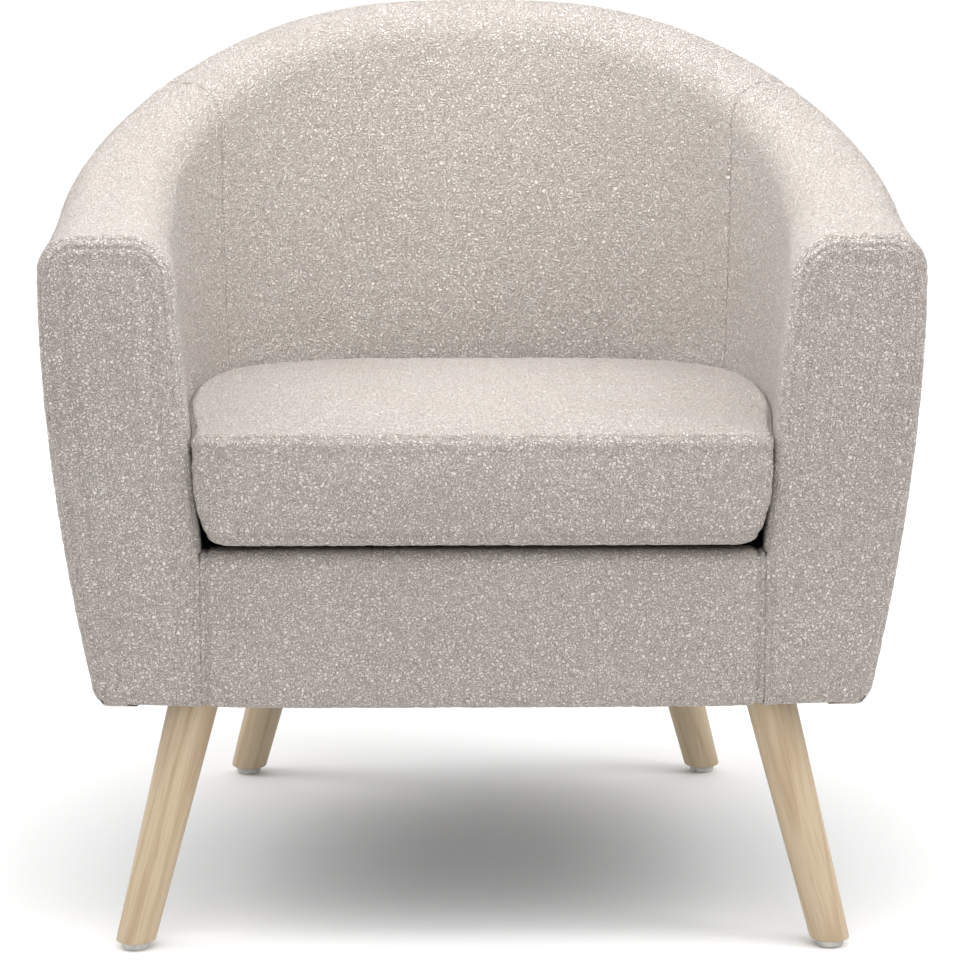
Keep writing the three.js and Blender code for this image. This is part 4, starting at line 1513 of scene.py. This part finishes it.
    # ------ front rail
    def front_rail(self) -> None:
        """Padded cover of the front rail, rolled over its top and under its foot."""
        shape = self.shape
        half = shape.seat_half + self.rail_overlap
        low, end = shape.underside, shape.deck_at(self.rail_roll)
        corners = [(self.hem, low), (0, low), (0, shape.deck), (self.rail_roll, end)]
        path = filleted(corners, [self.edge.radius, self.rail_top_radius], self.path_step)
        rows = resampled(path, even(arc_lengths(path)[-1], self.grain, self.backing))
        sewn = np.arange(2 * self.backing) * self.seam_grain
        plain = half - 2 * self.backing * self.seam_grain
        middle = np.linspace(-plain, plain, even(2 * plain, self.grain, self.backing) + 1)
        columns = np.concatenate([sewn - half, middle, (half - sewn)[::-1]])
        ends = half - np.abs(columns)
        along = np.gradient(rows, axis=0)
        out = unit(np.stack([-along[:, 1], along[:, 0]], -1))
        out = out * np.sign(-out[len(out) // 2, 0])
        line = np.exp(-(((ends - self.rail_stitch_inset) / self.stitch_width) ** 2))
        dip = self.rail_seam.depth(ends) + self.rail_stitch_depth * self.stitch_dip * line
        plump = self.rail_plump * (1 - np.exp(-ends / self.rail_plump_reach))
        raise_by = (plump - dip)[None, :] + np.zeros((len(rows), 1))
        base = np.stack(np.broadcast_arrays(columns[None, :], rows[:, :1] + shape.front, rows[:, 1:]), -1)
        normal = np.stack([np.zeros(len(rows)), out[:, 0], out[:, 1]], -1)[:, None]
        surface = base + normal * raise_by[..., None]
        face = surface + normal * self.bumps.at(surface)[..., None]
        builder = MeshBuilder()
        builder.add_shell(face, (base - normal * self.front_pad)[:: self.backing, :: self.backing])
        name = "front_rail_cover"
        self.cover_piece(name, "front_rail_pad").place(builder.mesh(name))
        self.rail_stitches(surface, normal, ends)

    def rail_stitches(self, surface: Array, normal: Array, ends: Array) -> None:
        """A stitched line up each end of the front rail's cover.

        Args:
            surface: The cover's points, rows by columns.
            normal: Each row's outward direction.
            ends: Each column's distance from the nearest end.
        """
        builder = MeshBuilder()
        column = int(np.argmin(np.abs(ends[: len(ends) // 2] - self.rail_stitch_inset)))
        shown = slice(self.unstitched_foot, -self.unstitched_top)
        for place in (column, len(ends) - 1 - column):
            StitchRow().add_to(builder, surface[shown, place], normal[shown, 0])
        piece = Piece("front_rail_stitches", BASE, "boucle", self.finishes.thread)
        piece.place(builder.mesh(piece.name))


# ------------ seat cushion
@dataclass
class SeatCushion:
    """The loose seat cushion: sewn panels round a foam core, with a zip across its back."""

    shape: TubShape
    finishes: Finishes
    proud: float = 0.008
    ease: float = 0.002
    clearance: float = 0.0003
    arm_gap: float = 0.0004
    mesh_step: float = 0.0052
    corner_run: float = 0.70
    front_corner: float = 0.016
    lower_seam: float = 0.009
    lower_radius: float = 0.009
    crown: float = 0.013
    side_swell: float = 0.0045
    most_moved: float = 0.026
    pressure: float = 4.0
    frames: int = 20
    front_tuck: float = 0.011
    tuck_radius: float = 0.030
    tuck_length: float = 0.12
    front_spread: float = 0.0105
    spread_length: float = 0.012
    front_lift: float = 0.0065
    lift_length: float = 0.05
    seam_drop: float = 0.002
    lower_seam_strength: float = 0.45
    tape_sunk: float = 0.0011
    tape_gap: float = 0.0002
    tape_width: float = 0.0021
    tape_depth: float = 0.0009
    tape_arch: float = 0.00025
    tape_thick: float = 0.0006
    tape_columns: int = 95
    coil_pitch: float = 0.0016
    coil_depth: float = 0.0003
    coil_length: float = 0.0013
    coil_radius: float = 0.00045
    slider_gap: float = 0.0003
    zip_half: float = 0.095
    slot_half: float = 0.0030
    slot_depth: float = 0.0030
    slot_margin: float = 0.012
    slot_band: float = 0.016
    slot_ease: float = 0.0012
    slot_end_ease: float = 0.003
    pucker_reach: float = 0.010
    flat_foot: float = 0.004
    seam: Seam = Seam(dip=0.0026, width=0.0019, swell=0.0008, swell_reach=0.006)
    bumps: PileBumps = PileBumps()
    puckers: PileBumps = PileBumps(cell=0.013, height=0.0022, seed=5)

    def build(self) -> None:
        """Builds the cushion and its zip."""
        builder, groups = self.panels(self.plan_sides())
        soft = linked("cushion_blank", builder.mesh("seat_cushion_upholstery"))
        self.inflate(soft, groups)
        self.finish_surface(soft, groups)
        piece = Piece(
            "seat_cushion_upholstery", CUSHION, "boucle", self.finishes.pile,
            ("cushion_cover", "cushion_foam"), 0.85,
        )
        soft.name = piece.name
        piece.dress(soft)
        self.zip_chain()
        self.zip_slider()

    @property
    def tilt(self) -> float:
        """The fall of the deck as an angle."""
        return math.atan(self.shape.deck_fall)

    def to_frame(self, points: Array) -> Array:
        """Turns the cushion's own coordinates into the frame's.

        Args:
            points: Points as x, distance behind the arm fronts and height above the deck.

        Returns:
            The same points in the frame.
        """
        c, s = math.cos(self.tilt), math.sin(self.tilt)
        y = points[..., 1] * c + points[..., 2] * s
        z = points[..., 2] * c - points[..., 1] * s
        return np.stack([points[..., 0], y + self.shape.front, z + self.shape.deck + self.clearance], -1)

    def from_frame(self, points: Array) -> Array:
        """Turns the frame's coordinates into the cushion's own.

        Args:
            points: Points in the frame.

        Returns:
            The same points as x, distance behind the arm fronts and height above the deck.
        """
        c, s = math.cos(self.tilt), math.sin(self.tilt)
        y = points[..., 1] - self.shape.front
        z = points[..., 2] - self.shape.deck - self.clearance
        return np.stack([points[..., 0], y * c - z * s, y * s + z * c], -1)

    def zip_place(self) -> Array:
        """The middle of the zip tape's rear face, in the cushion's own coordinates."""
        low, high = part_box("zip_tape")
        return self.from_frame(np.array([0.0, high.y, (low.z + high.z) / 2]))

    def back_line(self) -> float:
        """Where the cushion's back is, from the zip's tape."""
        return self.zip_place()[1] + self.tape_sunk

    def plan_sides(self) -> list[Array]:
        """The cushion's plan as four sides: front, right, back and left.

        Returns:
            Lines of evenly spaced x and y points; opposite sides have as many.
        """
        t = np.linspace(0.0, 1.0, 2 * FINE_STEPS // 3 + 1)
        deck = np.full_like(t, self.shape.deck)
        face = np.stack(self.shape.inner(t, deck), -1)
        along = unit(np.gradient(face, axis=0))
        inside = face + self.ease * np.stack([-along[:, 1], along[:, 0]], -1)
        back = self.back_line()
        front_x, front_y = inside[0, 0], -self.proud
        r = self.front_corner
        turn = np.linspace(0, math.pi / 2, 7)
        round_corner = np.stack([front_x - r + r * np.sin(turn), front_y + r - r * np.cos(turn)], -1)
        behind = inside[(inside[:, 1] > front_y + r + NUDGE)]
        behind = behind[behind[:, 1] < back]
        right = np.concatenate([round_corner[3:], behind])
        half_front = np.concatenate([[[0.0, front_y]], round_corner[:4]])
        split = np.searchsorted(arc_lengths(right), np.interp(self.corner_run, t, arc_lengths(inside)))
        flank, rear = right[: split + 1], np.concatenate([right[split:], [[0.0, back]]])
        wide = even(2 * arc_lengths(half_front)[-1], self.mesh_step, 2)
        tall = even(arc_lengths(flank)[-1], self.mesh_step)
        mirror = np.array([-1, 1])
        front = resampled(np.concatenate([half_front[::-1] * mirror, half_front[1:]]), wide)
        back_side = resampled(np.concatenate([rear, rear[:-1][::-1] * mirror]), wide)
        flank = resampled(flank, tall)
        return [front, flank, back_side, flank[::-1] * mirror]

    def lean(self, points: Array, height: Array) -> Array:
        """Leans the sides out with the arms, fills out the front corners and tucks them in below.

        Args:
            points: Plan points.
            height: Height of each above the deck.

        Returns:
            Points in the cushion's own coordinates.
        """
        y = points[..., 1]
        x = points[..., 0] * (1 + self.shape.arm_lean * height / self.shape.seat_half)
        low = np.clip(1 - height / self.tuck_radius, 0, 1)
        reach = np.clip(np.abs(points[..., 0]) / self.shape.seat_half, 0, 1) ** 6
        tuck = self.front_tuck * (1 - np.sqrt(1 - low**2)) * smoothstep(1 - y / self.tuck_length)
        x = x - np.sign(x) * tuck * reach
        share = height / self.shape.cushion_height
        fullness = smoothstep(share / 0.45) * lerp(1.0, 0.35, smoothstep((share - 0.6) / 0.4))
        at_front = smoothstep((self.spread_length / 2 - y) / self.spread_length)
        x = x + np.sign(x) * self.front_spread * fullness * at_front * reach
        lift = self.front_lift * (1 - smoothstep(y / self.lift_length)) * (1 - share)
        return np.stack(np.broadcast_arrays(x, y, height + lift), -1)

    def inset(self, outline: Array, distance: float) -> Array:
        """A closed plan outline moved in by a distance."""
        along = unit(np.roll(outline, -1, 0) - np.roll(outline, 1, 0))
        return outline + distance * np.stack([-along[:, 1], along[:, 0]], -1)

    def panels(self, sides: list[Array]) -> tuple[MeshBuilder, dict[str, Array]]:
        """Sews top, boxing and bottom into one closed blank.

        Args:
            sides: The plan's four sides.

        Returns:
            The blank and its groups of point numbers: top, boxing, bottom and the two seams.
        """
        outline = np.concatenate([side[:-1] for side in sides])
        counts = tuple(len(side) - 1 for side in sides)
        height = self.shape.cushion_height - self.seam_drop
        builder, groups = MeshBuilder(), {}
        radius, turns = self.lower_radius, np.linspace(0, math.pi / 2, 4)
        levels = [(radius * (1 - math.sin(a)), radius * (1 - math.cos(a))) for a in turns]
        boxing = even(height - self.lower_seam, self.mesh_step)
        levels += [(0.0, h) for h in np.linspace(self.lower_seam, height, boxing + 1)[1:]]
        flat = [self.inset(outline, inward) for inward, _ in levels]
        lines = [self.lean(line, np.full(len(line), level)) for line, (_, level) in zip(flat, levels)]
        rings = builder.add_rings([self.to_frame(line) for line in lines])
        groups["bottom"] = self.lid(builder, rings[0], counts)
        groups["top"] = self.lid(builder, rings[-1], counts)
        lower = next(k for k, level in enumerate(levels) if level[1] >= self.lower_seam - 1e-6)
        groups["lower_seam"], groups["top_seam"] = rings[lower], rings[-1]
        groups["boxing"] = np.concatenate(rings[lower:-1])
        return builder, groups

    def lid(self, builder: MeshBuilder, ring: Array, counts: tuple[int, ...]) -> Array:
        """Fills a ring with an even grid.

        Args:
            builder: The blank.
            ring: The ring's point numbers, from the front's left end.
            counts: Steps along the front, right, back and left.

        Returns:
            Numbers of the points inside the ring.
        """
        front, right, back, left = cut_ring(np.concatenate(builder.points)[ring], counts)
        grid = filled(front, back[::-1], left[::-1], right)
        return builder.add_inside(grid[1:-1, 1:-1], ring, counts)

    def inflate(self, soft: Object, groups: dict[str, Array]) -> None:
        """Inflates the blank with a cloth simulation and limits how far it swells.

        Args:
            soft: The blank.
            groups: Its groups of point numbers.
        """
        rest = coordinates(soft.data)
        moved = self.simulated(soft, groups)
        shift = self.from_frame(moved) - self.from_frame(rest)
        top = np.abs(shift[groups["top"], 2]).max()
        shift *= self.crown / max(top, 1e-6)
        length = np.linalg.norm(shift, axis=1, keepdims=True)
        shift *= np.minimum(1, self.most_moved / np.maximum(length, 1e-9))
        boxing = groups["boxing"]
        sideways = shift[boxing][:, :2]
        swell = np.linalg.norm(sideways, axis=1, keepdims=True)
        shift[boxing, :2] = sideways * np.minimum(1, self.side_swell / np.maximum(swell, 1e-9))
        shift[groups["bottom"]] = 0
        final = self.to_frame(self.from_frame(rest) + shift)
        move_points(soft.data, final)

    def simulated(self, soft: Object, groups: dict[str, Array]) -> Array:
        """Runs the cloth simulation.

        Args:
            soft: The blank, which keeps its own shape.
            groups: Its groups of point numbers.

        Returns:
            The inflated points.
        """
        held = soft.vertex_groups.new(name="held")
        held.add(groups["bottom"].tolist(), 1.0, "REPLACE")
        held.add(groups["lower_seam"].tolist(), 0.9, "REPLACE")
        held.add(groups["top_seam"].tolist(), 0.55, "REPLACE")
        cloth = soft.modifiers.new("cloth", "CLOTH")
        settings = cloth.settings
        settings.quality = 5
        settings.mass = 0.3
        settings.tension_stiffness = settings.compression_stiffness = 15
        settings.shear_stiffness = 10
        settings.bending_stiffness = 0.8
        settings.use_pressure = True
        settings.uniform_pressure_force = self.pressure
        settings.effector_weights.gravity = 0
        settings.vertex_group_mass = "held"
        cloth.point_cache.frame_start, cloth.point_cache.frame_end = 1, self.frames
        scene = bpy.context.scene
        for step in range(1, self.frames + 1):
            scene.frame_set(step)
        ready = soft.evaluated_get(bpy.context.evaluated_depsgraph_get())
        moved = coordinates(ready.to_mesh())
        ready.to_mesh_clear()
        soft.modifiers.remove(cloth)
        soft.vertex_groups.remove(held)
        scene.frame_set(1)
        return moved

    def finish_surface(self, soft: Object, groups: dict[str, Array]) -> None:
        """Subdivides the inflated cushion, and adds its seams, puckers, zip slot and pile.

        Args:
            soft: The cushion.
            groups: Its groups of point numbers.
        """
        shape = coordinates(soft.data)
        lines = [shape[np.append(groups[name], groups[name][0])] for name in ("top_seam", "lower_seam")]
        smooth = soft.modifiers.new("smooth", "SUBSURF")
        smooth.levels = smooth.render_levels = 1
        ready = soft.evaluated_get(bpy.context.evaluated_depsgraph_get())
        fine = bpy.data.meshes.new_from_object(ready)
        soft.modifiers.remove(smooth)
        soft.data = fine
        points = coordinates(fine)
        normals = np.empty(len(points) * 3, np.float32)
        fine.vertex_normals.foreach_get("vector", normals)
        normals = normals.reshape(-1, 3).astype(float)
        raised = self.bumps.at(points)
        for line, strength in zip(lines, (1.0, self.lower_seam_strength)):
            distance = nearest_distance(points, resampled(line, 4 * FINE_STEPS))
            puckered = self.puckers.at(points) * np.exp(-((distance / self.pucker_reach) ** 2))
            raised += strength * (puckered - self.seam.depth(distance))
        local = self.from_frame(points)
        flat_below = smoothstep(local[:, 2] / self.flat_foot)
        moved = local + (self.from_frame(points + normals * raised[:, None]) - local) * flat_below[:, None]
        moved = self.slotted(self.kept_inside(moved))
        final = self.to_frame(moved)
        move_points(fine, final)

    def kept_inside(self, local: Array) -> Array:
        """Holds the cushion's sides off the arms.

        Args:
            local: Points in the cushion's own coordinates, which are changed.

        Returns:
            The same points.
        """
        rise = self.to_frame(local)[:, 2] - self.shape.deck
        widest = self.shape.seat_half + self.shape.arm_lean * np.maximum(rise, 0)
        waist = self.shape.seat_waist * smoothstep(local[:, 1] / self.shape.straight)
        limit = np.where(local[:, 1] > -NUDGE, widest + waist - self.arm_gap, np.inf)
        local[:, 0] = np.clip(local[:, 0], -limit, limit)
        return local

    def slotted(self, local: Array) -> Array:
        """Keeps the back flat round the zip and sinks the zip's slot into it.

        Args:
            local: Points in the cushion's own coordinates, which are changed.

        Returns:
            The same points.
        """
        back = self.back_line()
        middle = self.shape.cushion_height / 2
        aside, off = np.abs(local[:, 0]), np.abs(local[:, 2] - middle)
        near = (local[:, 1] > back - self.slot_margin) & (aside < self.zip_half + self.slot_margin)
        near &= off < self.slot_band
        across = smoothstep((self.slot_half - off) / self.slot_ease + 0.5)
        ends = smoothstep((self.zip_half - aside) / self.slot_end_ease + 0.5)
        level = back - self.slot_depth * across * ends
        local[near, 1] = np.minimum(local[near, 1], level[near])
        return local

    # ------ zip
    def zip_chain(self) -> None:
        """The zip's two tapes and the row of coils between them."""
        _, back, height = self.zip_place() - np.array([0, self.tape_gap, 0])
        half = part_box("zip_tape")[1].x
        builder = MeshBuilder()
        xs = np.linspace(-half, half, self.tape_columns + 1)
        for side in (-1, 1):
            across = height + side * np.linspace(self.tape_gap, self.tape_width, 5)
            curve = back - self.tape_depth + self.tape_arch * np.sin(np.linspace(0, math.pi, 5))
            tape = np.stack(np.broadcast_arrays(xs[None], curve[:, None], across[:, None]), -1)
            behind = tape - np.array([0, self.tape_thick, 0])
            builder.add_shell(self.to_frame(tape), self.to_frame(behind))
        for k in range(int(2 * half / self.coil_pitch)):
            x = -half + (k + 0.5) * self.coil_pitch
            self.coil(builder, x, back - self.coil_depth, height, 1 if k % 2 else -1)
        piece = Piece("zip_chain", CUSHION, "zip_tape", self.finishes.zip_tape, ("zip_tape",))
        piece.place(builder.mesh("zip_chain"))

    def coil(self, builder: MeshBuilder, x: float, y: float, z: float, side: int) -> None:
        """One coil of the zip, a short bead that reaches over the middle from one tape.

        Args:
            builder: Where its mesh goes.
            x: Its place along the zip.
            y: Its distance behind the arm fronts.
            z: Height of the zip's middle.
            side: 1 for the upper tape, -1 for the lower one.
        """
        spine = np.linspace(-self.tape_gap, self.coil_length, 5)
        radii = self.coil_radius * np.array([4, 8.4, 9, 8.4, 4]) / 9
        angles = np.arange(6) * math.tau / 6
        ring = np.stack([np.cos(angles), np.sin(angles) * 0.8], -1)
        points = np.empty((5, 6, 3))
        points[..., 0] = x + ring[None, :, 0] * radii[:, None]
        points[..., 1] = y + ring[None, :, 1] * radii[:, None]
        points[..., 2] = z + side * spine[:, None]
        builder.add_bar(self.to_frame(points))

    def zip_slider(self) -> None:
        """The zip's slider, its bridge and its pull tab."""
        low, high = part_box("zip_slider")
        centre_x = (low.x + high.x) / 2
        length = high.x - low.x
        middle = self.shape.cushion_height / 2
        near = self.from_frame(np.array([0.0, low.y, (low.z + high.z) / 2]))[1] + self.slider_gap
        body = ((length, 0.0022, 0.0066), (0, near + 0.0011, middle), 0.0008)
        bridge = ((length * 0.5, 0.0013, 0.0018), (0, near + 0.0027, middle), 0.0006)
        tab = ((0.0042, 0.0010, 0.0180), (0, near + 0.0028, middle - 0.0078), 0.00045)
        grip = ((0.0056, 0.0012, 0.0060), (0, near + 0.0028, middle - 0.0152), 0.0005)
        shape = bmesh.new()
        for size, place, bevel in (body, bridge, tab, grip):
            made = bmesh.ops.create_cube(shape, size=1.0)
            bmesh.ops.scale(shape, vec=size, verts=made["verts"])
            bmesh.ops.translate(shape, vec=place, verts=made["verts"])
            edges = list({edge for vert in made["verts"] for edge in vert.link_edges})
            bmesh.ops.bevel(shape, geom=edges, offset=bevel, segments=3, affect="EDGES", profile=0.5)
        mesh = bpy.data.meshes.new("zip_slider_pull")
        shape.to_mesh(mesh)
        shape.free()
        points = self.to_frame(coordinates(mesh))
        points[:, 0] += centre_x
        move_points(mesh, points)
        Piece("zip_slider_pull", SLIDER, "steel", self.finishes.steel, ("zip_slider",)).place(mesh)


# ------------ cloths under the seat
@dataclass
class SeatCloths:
    """The black cloth over the springs and the dust cover under the chair, with its staples."""

    shape: TubShape
    finishes: Finishes
    thick: float = 0.0008
    deck_sag: float = 0.004
    dust_sag: float = 0.006
    staple_pitch: float = 0.042
    staple_length: float = 0.010
    staple_width: float = 0.0006
    staple_inset: float = 0.02
    staple_gap: float = 0.0002
    deck_inset: float = 0.025
    dust_inset: float = 0.012
    run_end: float = 0.995
    steps: int = 60
    ripple: PileBumps = PileBumps(cell=0.07, height=0.0016, seed=9)

    def build(self) -> None:
        """Builds both cloths and the staples."""
        self.cloth("deck_cloth", self.deck_inset, True, self.deck_sag)
        rim = self.cloth("dust_cover", self.dust_inset, False, self.dust_sag)
        self.staples(rim)

    def cloth(self, node: str, inset: float, level_with_deck: bool, sag: float) -> Array:
        """One D-shaped cloth.

        Args:
            node: The CAD node it stands for.
            inset: Distance in from the outside of the body.
            level_with_deck: Whether it follows the deck's fall.
            sag: How far its middle hangs.

        Returns:
            The cloth's edge, as points.
        """
        low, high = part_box(node)
        shape = self.shape
        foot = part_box("side_rail_right")[0].z
        t = np.linspace(0, self.run_end, FINE_STEPS // 5 + 1)
        edge = shape.in_wall(t, np.full_like(t, inset), np.full_like(t, foot))[:, :2]
        edge = edge[edge[:, 1] > low.y]
        front = np.array([[edge[0, 0], low.y]])
        edge = resampled(np.concatenate([front, edge]), self.steps)
        u = np.linspace(-1, 1, self.steps + 1)[None]
        v = np.linspace(0.12, 1, self.steps + 1)[:, None]
        x = edge[:, 0, None] * u
        y = np.broadcast_to(edge[:, 1, None], x.shape)
        level = shape.deck_at(y - shape.front) if level_with_deck else high.z
        hang = sag * (1 - u**2) * np.sin(v * math.pi) ** 0.6
        points = np.stack([x, y, level - hang], -1)
        points[..., 2] += self.ripple.at(points) * (1 - u**8)
        builder = MeshBuilder()
        builder.add_shell(points, points - np.array([0, 0, self.thick]))
        piece = Piece(node + "_sheet", BASE, "black_cloth", self.finishes.black_cloth, (node,))
        made = piece.place(builder.mesh(piece.name))
        right = points[:, -1]
        return np.concatenate([right, points[::-1, 0], points[0][1:-1]])

    def staples(self, rim: Array) -> None:
        """A row of staples a little inside the dust cover's edge.

        Args:
            rim: The edge's points.
        """
        middle = rim.mean(0)
        line = rim + (middle - rim) * self.staple_inset
        at = arc_lengths(line)
        builder = MeshBuilder()
        for k in range(int(at[-1] / self.staple_pitch)):
            place = k * self.staple_pitch
            pair = [
                np.array([np.interp(place + d, at, line[:, n]) for n in range(3)])
                for d in (-self.staple_length / 2, self.staple_length / 2)
            ]
            ahead = unit(pair[1] - pair[0])
            centre = (pair[0] + pair[1]) / 2 - np.array([0, 0, self.thick + self.staple_gap])
            spine = centre + ahead * np.linspace(-0.5, 0.5, 5)[:, None] * self.staple_length
            spine[[0, -1], 2] += self.staple_width
            side = unit(np.cross(ahead, [0, 0, 1.0]))
            ring = np.array([[-2, -1], [2, -1], [2, 1], [-2, 1]]) * self.staple_width / 2
            points = spine[:, None] + ring[None, :, :1] * side + ring[None, :, 1:] * np.array([0, 0, 1.0])
            builder.add_bar(points)
        piece = Piece("dust_cover_staples", BASE, "steel", self.finishes.steel)
        piece.place(builder.mesh(piece.name))


# ------------ legs
@dataclass
class Legs:
    """Four turned, tapered and splayed legs, each with a nail-on glide."""

    finishes: Finishes
    top_radius: float = 0.020
    foot_radius: float = 0.0155
    foot_round: float = 0.0018
    sides: int = 64
    rings: int = 40
    glide_sides: int = 48
    glide_height: float = 0.0060
    glide_round: float = 0.0022
    dome_round: float = 0.0015
    path_step: float = 0.0005
    nail_radius: float = 0.0013
    nail_point: float = 0.003
    nail_round: float = 0.0003
    flat_angle: float = math.radians(50)

    def build(self) -> None:
        """Builds the legs and glides."""
        for end in ("front", "rear"):
            for side in Side:
                name = f"{end}_{side.label}"
                self.leg(name)
                self.glide(name)

    def leg(self, name: str) -> None:
        """One leg, with its length along its object's own Z axis so that its grain follows it.

        Args:
            name: Which leg, as its end and side.
        """
        low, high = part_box("leg_" + name)
        glide_low, glide_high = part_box("glide_" + name)
        screw = sum(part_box("leg_screw_" + name), Vector()) / 2
        foot = (glide_low + glide_high) / 2
        foot.z = low.z
        turn: Quaternion = (screw - foot).to_track_quat("Z", "Y")
        place = Matrix.Translation(foot) @ turn.to_matrix().to_4x4()
        up = np.array(turn.to_matrix())[2]
        tall = high.z - low.z
        angles = np.arange(self.sides) * math.tau / self.sides
        across = np.cos(angles) * up[0] + np.sin(angles) * up[1]
        curve = [(self.foot_round * (1 - math.cos(a)), self.foot_round * (1 - math.sin(a)))
                 for a in np.linspace(0, math.pi / 2, 6)]
        levels = curve + [(h, 0.0) for h in np.linspace(self.foot_round, tall, self.rings)[1:]]
        rings = []
        for rise, shrink in levels:
            along = np.full(self.sides, rise / up[2])
            for _ in range(3):
                share = along * up[2] / tall
                radius = self.foot_radius + (self.top_radius - self.foot_radius) * share - shrink
                along = (rise - radius * across) / up[2]
            rings.append(np.stack([radius * np.cos(angles), radius * np.sin(angles), along], -1))
        builder = MeshBuilder()
        builder.add_bar(rings)
        piece = Piece("leg_turned_" + name, BASE, "leg_wood", self.finishes.leg_wood, ("leg_" + name,))
        self.keep_edges(piece.place(builder.mesh(piece.name), place))

    def glide(self, name: str) -> None:
        """One low domed glide and its nail.

        Args:
            name: Which leg it is under, as its end and side.
        """
        low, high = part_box("glide_" + name)
        radius, nail, tip = (high.x - low.x) / 2, self.nail_radius, high.z - self.nail_point
        dome = [(0.0, 0.0), (radius, 0.0), (radius, self.glide_height), (nail, self.glide_height)]
        rounds = [self.glide_round, self.dome_round, self.nail_round, self.nail_round]
        profile = filleted(dome + [(nail, tip), (0.0, high.z)], rounds, self.path_step)
        angles = np.arange(self.glide_sides) * math.tau / self.glide_sides
        centre = (low + high) / 2
        circle = np.stack([np.cos(angles), np.sin(angles), np.zeros(self.glide_sides)], -1)
        middle = np.array([centre.x, centre.y, low.z])
        builder = MeshBuilder()
        builder.add_bar([middle + circle * r + np.array([0, 0, z]) for r, z in profile[1:-1]])
        piece = Piece("glide_domed_" + name, BASE, "glide", self.finishes.glide, ("glide_" + name,))
        self.keep_edges(piece.place(builder.mesh(piece.name)))

    def keep_edges(self, made: Object) -> None:
        """Keeps flat ends from being shaded round."""
        made.data.set_sharp_from_angle(angle=self.flat_angle)


# ------------ frame pieces under the covers
@dataclass
class HiddenFrame:
    """Finishes for the CAD pieces that stay as they are, inside the upholstery."""

    finishes: Finishes

    def build(self) -> None:
        """Dresses each CAD piece by what it is."""
        kinds = (
            (("spring", "screw"), self.finishes.steel),
            (("board",), self.finishes.hardboard),
            (("post", "rail", "block"), self.finishes.timber),
        )
        for name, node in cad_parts.items():
            if node.hide_render:
                continue
            finish = next(finish for words, finish in kinds if any(word in name for word in words))
            node.data.materials.clear()
            node.data.materials.append(finish)
            log.info("%s: %s", name, finish.name)


# ------------ studio
@dataclass
class Studio:
    """A white floor, soft light from above and both sides, and the camera."""

    shape: TubShape
    distance: float = 3.143
    eye_height: float = 1.006
    side_step: float = -0.042
    pitch: float = math.radians(11.29)
    yaw: float = math.radians(0.794)
    lens: float = 150.6
    horizon: float = 0.52
    zenith: float = 1.33
    overhead_power: float = 9.5
    side_power: float = 13.5
    fill_power: float = 5.6

    def build(self) -> None:
        """Builds the floor, lights and camera."""
        self.floor()
        self.lights()
        self.camera()
        settings = bpy.context.scene.view_settings
        settings.view_transform, settings.look = "Standard", "None"

    def floor(self) -> None:
        """A wide white floor under the feet."""
        bpy.ops.mesh.primitive_plane_add(size=60.0)
        made = bpy.context.object
        made.name = "studio_floor"
        tree = NodeTree("studio_floor")
        tree.colour((0.97, 0.97, 0.97))
        made.data.materials.append(tree.surface(roughness=0.9, specular_ior_level=0.1))

    def lights(self) -> None:
        """A sky that is brightest overhead, and four panels above the chair and beside it."""
        world = bpy.data.worlds.new("studio_sky")
        bpy.context.scene.world = world
        world.use_nodes = True
        nodes, links = world.node_tree.nodes, world.node_tree.links
        split = nodes.new("ShaderNodeSeparateXYZ")
        links.new(nodes.new("ShaderNodeTexCoord").outputs["Generated"], split.inputs[0])
        climb = nodes.new("ShaderNodeMapRange")
        climb.inputs["To Min"].default_value = self.horizon
        climb.inputs["To Max"].default_value = self.zenith
        links.new(split.outputs["Z"], climb.inputs["Value"])
        links.new(climb.outputs["Result"], nodes["Background"].inputs["Strength"])
        nodes["Background"].inputs["Color"].default_value = (1.0, 1.0, 1.0, 1.0)
        self.panel("overhead", (0.1, -1.0, 2.5), (0, 0, 0.4), 1.6, self.overhead_power)
        for side in Side:
            power = self.side_power * (1 + 0.1 * side.value)
            place = (1.7 * side.value, -0.25 - 0.35 * side.value, 1.9)
            self.panel("side_" + side.label, place, (0, 0, 0.3), 1.0, power)
        self.panel("seat_fill", (0, -0.26, 1.15), (0, 0.3, 0.5), 0.6, self.fill_power)

    def panel(self, name: str, place: tuple, target: tuple, size: float, power: float) -> None:
        """One square light.

        Args:
            name: Its name.
            place: Where it is.
            target: What it faces.
            size: Length of its sides.
            power: Watts.
        """
        data = bpy.data.lights.new(name, "AREA")
        data.shape, data.size, data.energy = "SQUARE", size, power
        turn = (Vector(target) - Vector(place)).to_track_quat("-Z", "Y")
        linked(name, data, Matrix.Translation(place) @ turn.to_matrix().to_4x4())

    def camera(self) -> None:
        """The camera, square on and slightly above the chair."""
        data = bpy.data.cameras.new("camera")
        data.sensor_width, data.lens = 36.0, self.lens
        data.clip_start, data.clip_end = 0.1, 100.0
        made = linked("camera", data)
        made.location = (self.side_step, self.shape.front - self.distance, self.eye_height)
        made.rotation_euler = (math.pi / 2 - self.pitch, 0, -self.yaw)
        bpy.context.scene.camera = made


def main() -> None:
    """Builds the chair and its studio."""
    logging.basicConfig(level=logging.INFO, format="%(message)s")
    shape = TubShape.from_frame()
    finishes = Finishes()
    Studio(shape).build()
    TubUpholstery(shape, finishes).build()
    SeatCushion(shape, finishes).build()
    SeatCloths(shape, finishes).build()
    Legs(finishes).build()
    HiddenFrame(finishes).build()


if __name__ == "__main__":
    main()
